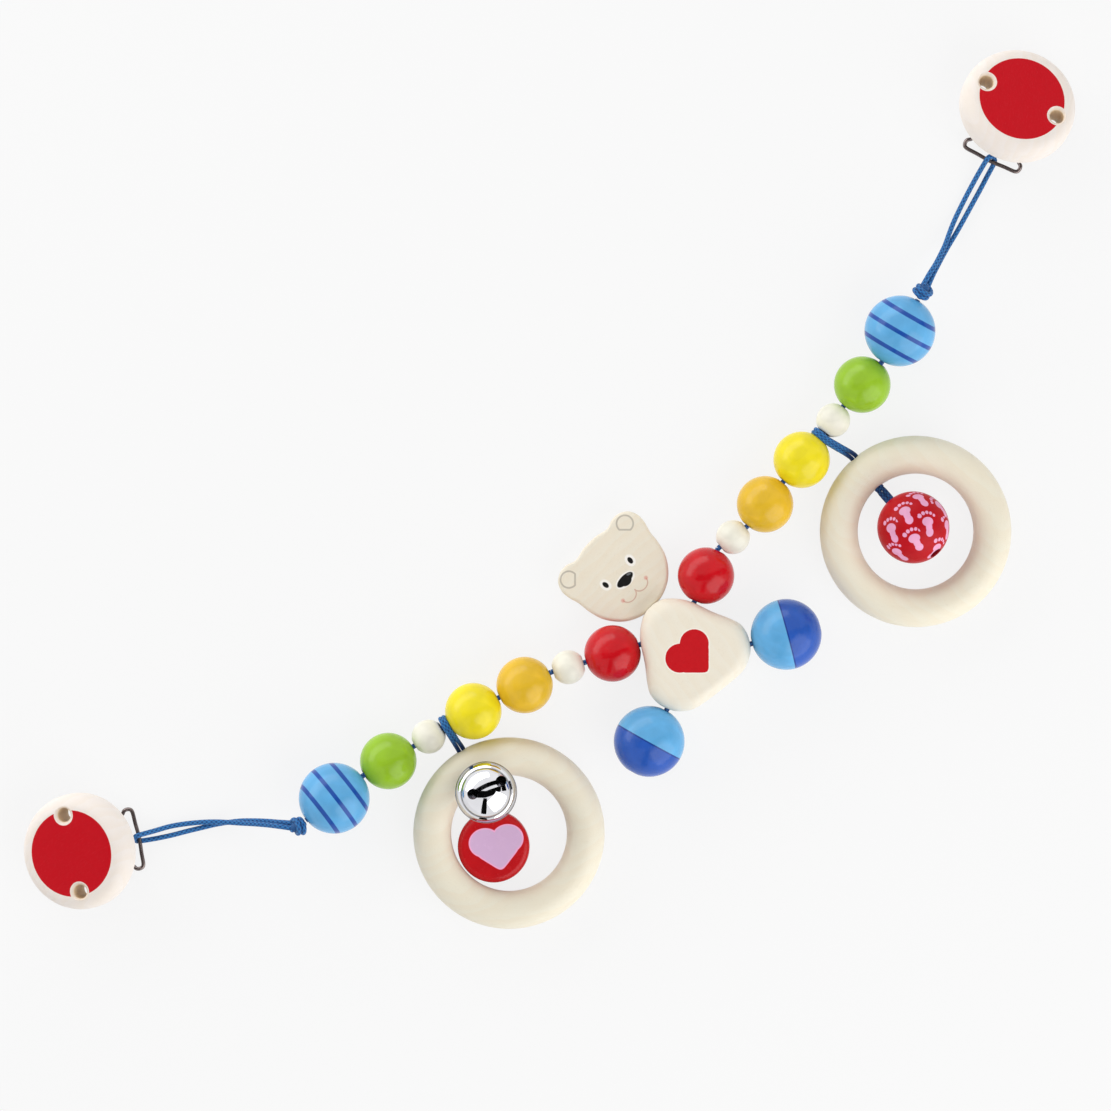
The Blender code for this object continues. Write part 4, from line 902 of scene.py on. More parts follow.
class PRAM_OT_strings(bpy.types.Operator):
    """Lays the doubled cord through the beads, the bear's shoulders and its hips"""

    bl_idname = "pram.strings"
    bl_label = "Strings"

    def execute(self, context):
        for side in SIDES:
            stops = [pivot(f"{side}_{bead}_bend") for bead in BEADS] + [pivot(f"{side}_knot_bend")]
            line = [stops[0] + (stops[0] - stops[1]) * 0.3]
            for start, end in zip(stops, stops[1:]):
                line += [start, start.lerp(end, 0.25), start.lerp(end, 0.75)]
            line.append(stops[-1])
            lines = pair_lines(line, WHOLE, upright=True)
            for index, bead in enumerate(BEADS):
                first = 1 + 3 * index
                strand_piece(
                    f"{side}_{bead}_strands", [strand[first: first + 4] for strand in lines],
                    f"{side}_{bead}_link", f"{side}_{bead}_cord", start=line_length(line[:first + 1]),
                )
            hip = pivot(f"{side}_foot_swing")
            far = pivot(f"{side}_foot_spin") + axis(f"{side}_foot_spin") * FOOT_CORD_END
            pair = pair_lines([hip, hip.lerp(far, 0.5), far], 0.003, upright=True)
            strand_piece(f"{side}_foot_strands", pair, f"{side}_foot_hung", f"{side}_foot_cord")
        left, right = on_both_sides(pivot, "red_bend")
        pair = pair_lines([left, (left + right) / 2, right], 0.004, upright=True)
        strand_piece("bear_shoulder_strands", pair, "bear", "bear_shoulder_cord")
        hips, ways, depth = hip_bores()
        inner = [hip - way * depth * 0.92 for hip, way in zip(hips, ways)]
        route = [
            hips[0], hips[0].lerp(inner[0], 0.5), inner[0], (inner[0] + inner[1]) / 2,
            inner[1], hips[1].lerp(inner[1], 0.5), hips[1],
        ]
        strand_piece("bear_hip_strands", pair_lines(route, 0.001, upright=True), "bear", "bear_hip_cord")
        return {"FINISHED"}


# Half outlines, as shares of the length from the lower end and of half the width
BODY_OUTLINE_SHARES = (
    (0.0, 0.22), (0.01, 0.5), (0.045, 0.68), (0.12, 0.86), (0.24, 0.98), (0.36, 1.0),
    (0.47, 0.91), (0.62, 0.74), (0.78, 0.59), (0.88, 0.45), (0.96, 0.27), (0.995, 0.1),
)
HEAD_OUTLINE_SHARES = (
    (0.0, 0.1), (0.02, 0.3), (0.082, 0.52), (0.18, 0.7), (0.311, 0.84), (0.464, 0.91), (0.596, 0.935),
    (0.716, 0.99), (0.82, 1.0), (0.92, 0.93), (0.982, 0.77), (0.987, 0.59), (0.955, 0.41), (0.985, 0.15),
)
BODY_HEADING, HEAD_HEADING, NECK_HEADING = 128, 135, 136
ORIGIN_SHARE, HEAD_MIDDLE_SHARE = 0.413, 0.53


def closed_outline(shares, length, width, origin_share, toward, parts=5):
    """A smooth closed outline through a half outline's shares and their mirror image."""
    ahead, across = heading(toward), heading(toward - 90)
    half = [((a - origin_share) * length, b * width / 2) for a, b in shares]
    corners = [ahead * a + across * b for a, b in half + [(a, -b) for a, b in reversed(half)]]
    line = []
    for index in range(len(corners)):
        near = [corners[(index + step) % len(corners)] for step in (-1, 0, 1, 2)]
        line += [curve_point(*near, part / parts) for part in range(parts)]
    return line


def rounded_block(outline, middle, thickness, edge, steps):
    """A flat block of this outline on the floor, its edges rounded over and drawn in towards the middle."""
    bm = bmesh.new()
    reach = max((point - middle).length for point in outline)
    face = bm.faces.new([bm.verts.new(point) for point in outline])
    turns = [pi / 2 * index / steps for index in range(steps + 1)]
    levels = [(edge * (1 - cos(turn)), 1 - edge * (1 - sin(turn)) / reach) for turn in turns]
    levels += [(thickness - height, share) for height, share in reversed(levels)]
    space = Matrix.Translation(-middle)
    bmesh.ops.scale(bm, vec=(levels[0][1], levels[0][1], 1), verts=face.verts, space=space)
    for (height, share), (next_height, next_share) in zip(levels, levels[1:]):
        grown = bmesh.ops.extrude_face_region(bm, geom=[face, *face.edges])["geom"]
        face = next(item for item in grown if isinstance(item, bmesh.types.BMFace))
        bmesh.ops.translate(bm, vec=(0, 0, next_height - height), verts=face.verts)
        bmesh.ops.scale(bm, vec=(next_share / share, next_share / share, 1), verts=face.verts, space=space)
    for cap in [found for found in bm.faces if len(found.verts) > 4]:
        bmesh.ops.inset_region(bm, faces=[cap], thickness=edge * 0.25, use_even_offset=False)
    split_big_faces(bm)
    return bm


def line_mask(outside, width, soft=0.35):
    """A line of this width along the edge of a shape."""
    return between(abs(outside), width / 2 * (1 + soft), width / 2 * (1 - soft))


def bear_body_paint(material, tint):
    """The heart on the body, its edge a little ragged, with a pale rim."""
    place = object_place(material)
    upright = mapped(place, BODY_HEART_TIP, size=(BODY_HEART_SIDE,) * 3)
    ragged = noise(place, 1500.0) * 0.02 + use("heart", upright)["Outside"]
    front = sums("GREATER_THAN", xyz(place)[2], 0.012)
    tint = blend(between(ragged, 0.075, 0.035, 0.0, 0.6) * front, tint, srgb(250, 246, 238))
    uneven = between(noise(place, 700.0, 3.0), 0.3, 0.7, 0.0, 0.18)
    red = blend(uneven, tuple(bpy.context.scene.pram_bear.heart), srgb(170, 8, 20))
    mask = between(ragged, 0.022, 0.004) * front
    return blend(mask, tint, red), mask


def bear_face_paint(material, tint):
    """The print on the head: rings in the ears, eyes, nose and smile, and a painted highlight on the nose,
    measured in steps of the picture.
    """
    bear = bpy.context.scene.pram_bear
    steps = (PICTURE_STEP, -PICTURE_STEP, PICTURE_STEP)
    place = mapped(object_place(material), FACE_ORIGIN, (0, 0, radians(HEAD_HEADING)), steps)
    x, y, z = xyz(place)
    front = sums("GREATER_THAN", z, 20.0)
    half = joined(x, abs(y), z)

    def oval(source, middle, sizes, turn=0.0):
        return use("ellipse", mapped(source, (*middle, 0), (0, 0, turn), (*sizes, 1)))["Outside"]

    across, along, _ = xyz(mapped(half, (28.0, 39.6, 0)))
    flat_side = (across + along) * -0.7071 - 6.2
    round_side = arrows("LENGTH", joined(across, along)) - 8.3
    ear_line = line_mask(sums("MAXIMUM", flat_side, round_side), 1.7, 0.5)
    halo = between(oval(half, (-1.8, 17.4), (6.4, 4.9), 0.12), 0.12, -0.12)
    eye = between(oval(half, (-1.8, 17.4), (3.7, 2.35), 0.12), 0.10, -0.10)
    nose_halo = between(oval(half, (-12.2, 0.0), (6.4, 11.6)), 0.08, -0.08)
    nose = sums("MINIMUM", oval(half, (-11.8, 0.0), (4.4, 10.3)), oval(half, (-13.2, 0.0), (4.9, 6.2)))
    ink = sums("MAXIMUM", eye, between(nose, 0.06, -0.06)) * front
    # Painted highlight: a small grey glint on the nose's ink
    nose_highlight = between(oval(place, (-10.4, 6.6), (1.1, 2.3), 0.4), 0.35, -0.35)
    smile = line_mask(oval(half, (-25.4, 8.0), (6.6, 8.0)) * 7.0, 1.1, 0.6) * between(x, -24.6, -25.6)
    dimple = between(oval(half, (-25.2, 16.2), (1.9, 1.9)), 0.5, -0.4)
    for mask, colour in (
        (sums("MAXIMUM", halo, nose_halo) * front, srgb(247, 243, 236)),
        (ear_line * 0.75 * front, tuple(bear.ear_line)),
        (smile * 0.6 * front, tuple(bear.mouth_line)),
        (dimple * 0.5 * front, srgb(222, 122, 108)),
        (ink, tuple(bear.ink)),
        (nose_highlight * (front * 0.7), srgb(120, 124, 130)),
    ):
        tint = blend(mask, tint, colour)
    return tint, ink


class PRAM_OT_bear(bpy.types.Operator):
    """Shapes and paints the bear's body and head"""

    bl_idname = "pram.bear"
    bl_label = "Bear"

    def execute(self, context):
        bear, bore = context.scene.pram_bear, context.scene.pram_beads.bore_radius
        shape = closed_outline(BODY_OUTLINE_SHARES, bear.body_length, bear.body_width, ORIGIN_SHARE, BODY_HEADING)
        body = rounded_block(shape, ORIGIN, bear.body_thickness, bear.body_edge, 12)
        left, right = on_both_sides(pivot, "red_bend")
        way = (right - left).normalized() * OVER
        bores = [bar_between(left - way, right + way, bore)]
        hips, ways, depth = hip_bores()
        bores += [bar_between(hip - way * depth, hip + way * OVER, bore) for hip, way in zip(hips, ways)]

        def grain(turn):
            return lambda material: mapped(object_place(material), turn=(0.15, 0.1, radians(turn)))

        wood = pale_wood(
            "bear_body_wood", bear.wood, grain(BODY_HEADING), bear_body_paint, contrast=0.55, shine=0.25,
        )
        finish_piece("bear_body_carved", cut(body, bores), "bear", wood, ["bear_body"], angle=50)

        neck = heading(BODY_HEADING) * (1 - ORIGIN_SHARE) * bear.body_length
        middle = neck + heading(NECK_HEADING) * (HEAD_MIDDLE_SHARE * bear.head_height - NECK_SINK)
        outline = closed_outline(
            HEAD_OUTLINE_SHARES, bear.head_height, bear.head_width, HEAD_MIDDLE_SHARE, HEAD_HEADING,
        )
        outline = [point + middle for point in outline]
        head = rounded_block(outline, middle, bear.head_thickness, bear.head_edge, 6)
        seat = bmesh.new()
        raise_face(seat, [point * SEAT_PLAY - UP * OVER for point in shape], bear.body_thickness + 2 * OVER)
        split_big_faces(seat)
        wood = pale_wood(
            "bear_head_wood", bear.head_wood, grain(HEAD_HEADING - 90), bear_face_paint,
            contrast=0.8, band=0.0034, shine=0.25,
        )
        finish_piece("bear_head_cut_out", cut(head, [seat]), "bear", wood, ["bear_head"], angle=50)
        dress("neck_dowel", wood)
        return {"FINISHED"}


class PRAM_OT_rings(bpy.types.Operator):
    """Turns the two teething rings and bores them for their cord"""

    bl_idname = "pram.rings"
    bl_label = "Rings"

    def execute(self, context):
        rings, bore = context.scene.pram_rings, context.scene.pram_beads.bore_radius
        section_steps, ring_steps = 48, 160
        middle, section = rings.centre_radius, rings.section_radius
        angles = [2 * pi * (step + 0.5) / section_steps for step in range(section_steps)]
        profile = [(middle + section * cos(a), section * sin(a)) for a in angles]
        for side, turn in (("left", 24), ("right", -38)):
            centre, out = pivot(f"{side}_ring_turn"), axis(f"{side}_ring_turn")
            ring = spun(profile, ring_steps)
            bmesh.ops.translate(ring, vec=centre, verts=ring.verts)
            start = centre - out * (middle - section - OVER)
            end = centre - out * (middle + section + OVER)
            ring = cut(ring, [bar_between(start, end, bore)])

            def grain(material, centre=centre, turn=turn):
                return mapped(object_place(material), tuple(centre), (0.2, 0.12, radians(turn)))

            wood = pale_wood(
                f"{side}_ring_wood", rings.wood, grain, band=0.0050, contrast=0.75, roughness=0.42,
            )
            node = f"{side}_teething_ring"
            finish_piece(f"{side}_ring_turned", ring, f"{side}_ring_turned", wood, [node])
        return {"FINISHED"}


class PRAM_OT_tabs(bpy.types.Operator):
    """Ties each ring to its string and runs the cord on through the ring's bore"""

    bl_idname = "pram.tabs"
    bl_label = "Tabs and hanging cords"

    def execute(self, context):
        for side in SIDES:
            self.tie_tab(side)
            self.hang_cord(side)
        return {"FINISHED"}

    def tie_tab(self, side):
        """Two strands from the ring's bore, once round the string and back under."""
        rings, cord = bpy.context.scene.pram_rings, bpy.context.scene.pram_cord
        wrap, strand, apart = 0.0031, 0.00078, 0.00062
        hang, way = pivot(f"{side}_ring_swing"), axis(f"{side}_ring_swing")
        centre, out = pivot(f"{side}_ring_turn"), axis(f"{side}_ring_turn")
        edge = centre - out * (rings.centre_radius + rings.section_radius)
        level = way.cross(UP).normalized()
        level = level if level.dot(edge - hang) > 0 else level * -1
        beside = out.cross(UP)
        beside = beside if beside.dot(way) > 0 else beside * -1
        lines = []
        for sign in (1, -1):
            step, aside = way * sign * apart, beside * sign * cord.radius * cord.pitch_share
            turns = [radians(angle) for angle in (58, 92, 126, 160, 195, 230, 265, 300)]
            over = [hang + (level * cos(a) + UP * sin(a)) * wrap + step for a in turns]
            first, second = edge + out * 0.0016 + aside, edge - out * 0.0012 + aside
            under = second.lerp(over[0], 0.42) - UP * 0.0019
            before = under.lerp(over[-1], 0.5) - UP * 0.0004
            route = [first, second, second.lerp(over[0], 0.5), *over, before, under]
            lines.append(smooth_line(route, STRAND_STEP))
        name = f"{side}_ring_tab"
        strand_piece(name + "_strands", lines, f"{side}_ring_hung", name, strand, material="tab_cord")

    def hang_cord(self, side):
        """Two strands from the ring's bore to the ball, or through the bell's shank into the coin."""
        rings, cord = bpy.context.scene.pram_rings, bpy.context.scene.pram_cord
        centre, out = pivot(f"{side}_ring_turn"), axis(f"{side}_ring_turn")
        inside = rings.centre_radius - rings.section_radius
        start = centre - out * (rings.centre_radius + rings.section_radius) + out * 0.0012
        if side == "right":
            ball, climb = pivot("ball_spin"), axis("ball_spin")
            knee = centre - out * (inside - cord.radius)
            route = [start, start.lerp(knee, 0.9), knee, knee + climb * 0.0015, ball, ball + climb * 0.0112]
        else:
            top, on, coin = pivot("bell_swing"), axis("bell_swing"), pivot("coin_spin")
            wall, near = centre - out * inside, coin - on * rings.coin_radius
            through = on * 0.00115
            route = [
                start, wall - out * 0.0018, wall + out * 0.00045, top - through, top + through,
                near - on * 0.0009, near + on * 0.0009, coin + on * 0.0112,
            ]
        lines = pair_lines(route, STRAND_STEP)
        strand_piece(f"{side}_hanging_strands", lines, f"{side}_ring_turned", f"{side}_pendant_cord")


# Each print on the ball's upper half, and again on the lower: its middle in radii, and where its toes point
PRINTS = (
    (-0.27, 0.40, 111), (0.36, 0.09, 95), (-0.65, -0.09, 104), (0.0, -0.37, 111), (0.14, 0.82, 100),
    (0.73, 0.58, 125), (0.92, 0.0, 110), (0.60, -0.62, 80), (-0.45, -0.73, 100),
)


class PRAM_OT_ball(bpy.types.Operator):
    """Turns the ball in the right ring and prints it with small footprints"""

    bl_idname = "pram.ball"
    bl_label = "Printed ball"

    def execute(self, context):
        beads = context.scene.pram_beads
        own = aimed(ORIGIN, axis("ball_spin")).to_3x3().transposed()

        def prints(place):
            """Takes the place within the nearest print and paints one footprint there."""
            nearest, chosen = FAR, (0.0, 0.0, -1.0)
            for x, y, toes in PRINTS:
                for sign in (1, -1):
                    normal = Vector((x, y, sign * sqrt(max(0.02, 1 - x * x - y * y)))).normalized()
                    ahead = heading(toes)
                    ahead = (ahead - normal * normal.dot(ahead)).normalized()
                    turned = Matrix((own @ ahead.cross(normal), own @ ahead, own @ normal)).transposed()
                    middle = tuple(own @ normal * beads.ball_radius)
                    spot = mapped(place, middle, tuple(turned.to_euler()), (PRINT_LENGTH,) * 3)
                    reach = arrows("LENGTH", arrows("MULTIPLY", spot, PRINT_REACH))
                    chosen = blend(sums("LESS_THAN", reach, nearest), chosen, spot)
                    nearest = sums("MINIMUM", reach, nearest)
            mask = use("footprint", arrows("ADD", chosen, (0.0, 0.0, 1.0)))["Mask"]
            return blend(mask, srgb(186, 16, 28), tuple(beads.print_pink))

        paint = lacquer("lacquer_prints", prints, 0.38, 0.12)
        make_bead("ball", beads.ball_radius, "ball_spin", "ball_turning", paint)
        return {"FINISHED"}


class PRAM_OT_coin(bpy.types.Operator):
    """Turns the coin in the left ring and paints its heart"""

    bl_idname = "pram.coin"
    bl_label = "Heart coin"

    def execute(self, context):
        rings, bore = context.scene.pram_rings, context.scene.pram_beads.bore_radius
        centre, on = pivot("coin_spin"), axis("coin_spin")
        half, edge = rings.coin_thickness / 2, rings.coin_edge
        face, edge_steps = rings.coin_radius - edge, 12
        turns = [pi / 2 * index / edge_steps for index in range(edge_steps + 1)]
        upper = [(face * share, half) for share in QUARTERS]
        upper += [(face + edge * sin(a), half - edge + edge * cos(a)) for a in turns]
        coin = spun(upper + [(r, -z) for r, z in reversed(upper)], 128, closed=False)
        bmesh.ops.translate(coin, vec=centre, verts=coin.verts)
        over = on * (rings.coin_radius + OVER)
        coin = cut(coin, [bar_between(centre - over, centre + over, bore)])
        node = "heart_coin"
        finish_piece(node + "_painted", coin, "coin_turning", self.paint(centre.z, half), [node])
        return {"FINISHED"}

    def paint(self, middle_height, half):
        """Red lacquer, with a mauve heart and its pink line on both flat faces."""
        rings = bpy.context.scene.pram_rings
        material, inputs = new_material("lacquer_coin", 0.22, shine=0.22)
        place = object_place(material)
        turn = (0, 0, radians(COIN_HEART_HEADING - 90))
        upright = mapped(place, COIN_HEART_TIP, turn, COIN_HEART_SIZES)
        heart = use("heart", mapped(upright, turn=(0, 0, radians(-45))))["Outside"]
        film = use("lacquer film", place)
        tint = blend(between(film["Tone"], 0.3, 0.7, 0.0, 0.3), tuple(rings.coin_red), srgb(214, 30, 34))
        flat = sums("GREATER_THAN", abs(xyz(place)[2] - middle_height), half - 0.0006)
        tint = blend(between(heart, 0.010, -0.010) * flat, tint, tuple(rings.heart_pink))
        mauve = between(film["Tone"], 0.35, 0.75, 0.0, 0.35)
        mauve = blend(mauve, tuple(rings.heart_mauve), srgb(222, 186, 216))
        tint = blend(between(heart, -0.030, -0.055) * flat, tint, mauve)
        tint = blend(film["Specks"] * 0.1, tint, (0.2, 0.1, 0.1))
        relief = use("wood grain", place)["Height"] * 0.3 + film["Peel"]
        coloured(inputs, tint, film["Rub"] * 0.1 + 0.25, relief, LACQUER_RELIEF)
        return material


class PRAM_OT_bell(bpy.types.Operator):
    """Presses the jingle bell, its slot, its shank and its clapper"""

    bl_idname = "pram.bell"
    bl_label = "Bell"

    def execute(self, context):
        bell, bore = context.scene.pram_bell, context.scene.pram_beads.bore_radius
        hang, on = pivot("bell_swing"), axis("bell_swing")
        centre = Vector((hang.x, hang.y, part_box("bell_shell")[1].z - bell.radius))
        hollow, wall_steps = bell.radius - bell.wall, 40
        turns = [pi * index / wall_steps for index in range(wall_steps + 1)]
        inside = spun([(hollow * sin(a), hollow * cos(a)) for a in turns], 96, closed=False)
        shell = cut(spun(self.outside(), 128, closed=False), [inside, *self.slot_cutters()])
        bmesh.ops.translate(shell, vec=centre, verts=shell.verts)
        crease = centre.z + bell.radius * BELL_CREASE

        def painted_shade(place):
            """Painted shade towards the seam, darker in the seam's corners and in the crease above it; the plate
            is also duller where it falls.
            """
            height = xyz(place)[2]
            off_seam, off_crease = abs(height - centre.z), abs(height - crease)
            patchy = between(noise(place, 600.0, 3.0), 0.3, 0.7, 0.75, 1.0)
            dull = between(off_seam, 0.0048, 0.0020, 0.0, 0.42)
            corner = between(off_seam, 0.0014, 0.0008) * between(off_seam, 0.00035, 0.0006, 0.0, 0.75)
            line = between(off_crease, 0.00055, 0.0002, 0.0, 0.72)
            return sums("MAXIMUM", dull, sums("MAXIMUM", corner, line)) * patchy

        plate = plated("bright_plate", bell.plate, 0.045, 0.04, 0.000006, painted_shade)
        finish_piece("bell_pressed", shell, "bell_hung", plate, ["bell_shell"], angle=32)

        radius, wire = bore + bell.shank_wire + 0.0003, bell.shank_wire
        angles = [2 * pi * step / 24 for step in range(24)]
        shank = spun([(radius + wire * cos(a), wire * sin(a)) for a in angles], 72)
        placement = aimed(centre - UP * (bell.radius + radius), on)
        finish_piece("bell_shank", shank, "bell_hung", plate, placement=placement)

        clapper, node = bmesh.new(), "bell_clapper"
        bmesh.ops.create_icosphere(clapper, subdivisions=4, radius=bell.clapper_radius)
        bmesh.ops.translate(clapper, vec=pivot("clapper_rise"), verts=clapper.verts)
        finish_piece(node + "_ball", clapper, "clapper_raised", "spring_steel", [node])
        return {"FINISHED"}

    def outside(self):
        """The bell's outline from top to bottom: a smooth cap, a crease, a fuller wall and a proud seam."""
        bell, steps = bpy.context.scene.pram_bell, 60
        points = []
        for index in range(steps + 1):
            a = pi * index / steps
            proud = 0.00032 * min(1.0, (cos(a) + 1) / 0.6) if cos(a) < BELL_CREASE else 0.0
            proud = -0.00028 if abs(cos(a) - BELL_CREASE) < 0.025 else proud
            points.append(((bell.radius + proud) * sin(a), bell.radius * cos(a)))
        points = [point for point in points if abs(point[1]) > 0.0009]
        middle = next(index for index, point in enumerate(points) if point[1] < 0)
        rim = bell.radius + bell.seam
        seam = [(rim - 0.0002, 0.0007), (rim, 0.00045), (rim, -0.00045), (rim - 0.0002, -0.0007)]
        return points[:middle] + seam + points[middle:]

    def slot_cutters(self):
        """The slot's two round eyes and the bowed slit between them."""
        bell = bpy.context.scene.pram_bell
        along = heading(SLOT_HEADING)
        left = UP.cross(along)
        slot = along * bell.slot_along + left * bell.slot_across
        above = UP * (bell.radius + OVER)
        reach, side_step = along * bell.slot_span / 2, left * bell.slot_width / 2
        eyes = [slot - reach, slot + reach]
        shares = [index / 6 - 1 for index in range(13)]
        bowed = [slot + reach * share + left * bell.slot_bow * (1 - share**2) for share in shares]
        slit = bmesh.new()
        outline = [point + side_step for point in bowed] + [point - side_step for point in reversed(bowed)]
        raise_face(slit, outline, above.z)
        split_big_faces(slit)
        return [bar_between(eye, eye + above, bell.eye_radius) for eye in eyes] + [slit]


# Each strand's way from the knot to the bar: at these shares of it, its step to the left
# and its height as a share of the knot's
LOOP_SHARES = (0.12, 0.2, 0.28, 0.36, 0.44, 0.52, 0.6, 0.7, 0.8, 0.9)
LOOP_ROUTES = {
    "left": (
        (
            (-0.0005, 0.97), (-0.0013, 0.77), (-0.0019, 0.54), (-0.0024, 0.35), (-0.0030, 0.23),
            (-0.0035, 0.18), (-0.0037, 0.11), (-0.0036, 0.04), (-0.0031, 0.03), (-0.0020, 0.13),
        ),
        (
            (-0.0019, 0.79), (-0.0025, 0.59), (-0.0029, 0.38), (-0.0031, 0.18), (-0.0029, 0.05),
            (-0.0025, 0.0), (-0.0018, 0.0), (-0.0009, 0.0), (0.0001, 0.0), (0.0008, 0.0),
        ),
    ),
    "right": (
        (
            (0.0008, 0.95), (0.0004, 0.77), (0.0003, 0.56), (0.0004, 0.36), (0.0009, 0.19),
            (0.0013, 0.08), (0.0015, 0.03), (0.0016, 0.03), (0.0016, 0.07), (0.0015, 0.17),
        ),
        (
            (-0.0006, 0.81), (-0.0006, 0.61), (-0.0007, 0.40), (-0.0009, 0.19), (-0.0012, 0.06),
            (-0.0014, 0.0), (-0.0015, 0.0), (-0.0016, 0.0), (-0.0017, 0.0), (-0.0017, 0.0),
        ),
    ),
}
# Where the upper and the lower strand reach the bar, to the left of its middle
LOOP_SIDE = {"left": (-0.0009, 0.0012), "right": (0.0012, -0.0017)}


class PRAM_OT_loops(bpy.types.Operator):
    """Lays the free loops of cord from the knots round the clips' bars, and ties the knots"""

    bl_idname = "pram.loops"
    bl_label = "Cord loops and knots"

    def execute(self, context):
        for side in SIDES:
            string_way = axis(f"{side}_striped_spin")
            string_way = Vector((string_way.x, string_way.y, 0)).normalized()
            knot = pivot(f"{side}_knot_bend") + string_way * KNOT_STEP
            bar = pivot(f"{side}_clip_swing") - UP * BAR_HEIGHT
            reach = (bar - Vector((knot.x, knot.y, 0))).normalized()
            self.lay_loop(side, knot, bar, reach)
            self.tie_knot(side, knot, (reach + string_way).normalized())
        return {"FINISHED"}

    def lay_loop(self, side, knot, bar, reach):
        """One cord from the knot over the bar and back under it, in three pieces."""
        cord, clips = bpy.context.scene.pram_cord, bpy.context.scene.pram_clips
        flat_knot, across = Vector((knot.x, knot.y, 0)), UP.cross(reach)
        clip = UP.cross(axis(f"{side}_clip_swing"))
        floor = cord.radius + FLOOR_GAP
        strands = []
        for sign, route in zip((1, -1), LOOP_ROUTES[side]):
            points = [knot + across * sign * (cord.radius + 0.00015)]
            for share, (step, height_share) in zip(LOOP_SHARES, route):
                height = floor + (knot.z - floor) * height_share
                points.append(flat_knot.lerp(bar, share) + across * step + UP * height)
            strands.append(points)
        over, under = (bar + UP.cross(clip) * step for step in LOOP_SIDE[side])
        wrap = clips.bar_radius + cord.radius + 0.00008
        wrapped = [
            over.lerp(under, index / 4) + UP * (BAR_HEIGHT + wrap * sin(a)) + clip * wrap * cos(a)
            for index, a in enumerate(radians(angle) for angle in (90, 45, 0, -45, -90))
        ]
        line = smooth_line(strands[0] + wrapped + strands[1][::-1], STRAND_STEP)

        def nearest(place):
            return min(range(len(line)), key=lambda index: (line[index] - place).length)

        first, last = nearest(wrapped[0]) - 2, nearest(wrapped[-1]) + 2
        frames = carried_frames(line)
        body, node = f"{side}_knot_link", f"{side}_cord_loop"
        for name, start, end in (("upper", 0, first), ("wrap", first, last), ("lower", last, len(line) - 1)):
            bm = bmesh.new()
            sweep(bm, frames[start: end + 1], cord.radius, cord.sides, line_length(line[: start + 1]))
            piece = finish_cord(f"{side}_loop_{name}", bm, body, node)
            if name == "wrap":
                continue
            path = line[start: end + 1] if name == "upper" else line[start: end + 1][::-1]
            line_length(path)

    def tie_knot(self, side, middle, way):
        """A barrel of cord wound over the strands, with its ends tucked in."""
        cord = bpy.context.scene.pram_cord
        here = aimed(middle, way)
        lean = Matrix.Rotation(radians(24), 4, "X") @ Matrix.Rotation(radians(14), 4, "Y")
        points = []
        turns, steps = 2.4, 56
        for index in range(steps + 1):
            share = index / steps
            angle = 2 * pi * turns * share + 0.6
            radius = 0.0008 + 0.00165 * min(1.0, min(share, 1 - share) * 7)
            along = (share - 0.5) * 0.0046
            points.append(here @ lean @ Vector((radius * cos(angle), radius * sin(angle), along)))
        bm = bmesh.new()
        sweep(bm, carried_frames(smooth_line(points, 0.0004)), cord.radius, cord.sides)
        core = bmesh.ops.create_uvsphere(bm, u_segments=24, v_segments=16, radius=0.0020)["verts"]
        bmesh.ops.scale(bm, vec=(1, 1, 1.5), verts=core)
        bmesh.ops.transform(bm, matrix=here, verts=core)
        finish_cord(f"{side}_knot_tied", bm, f"{side}_knot_link", f"{side}_cord_loop")


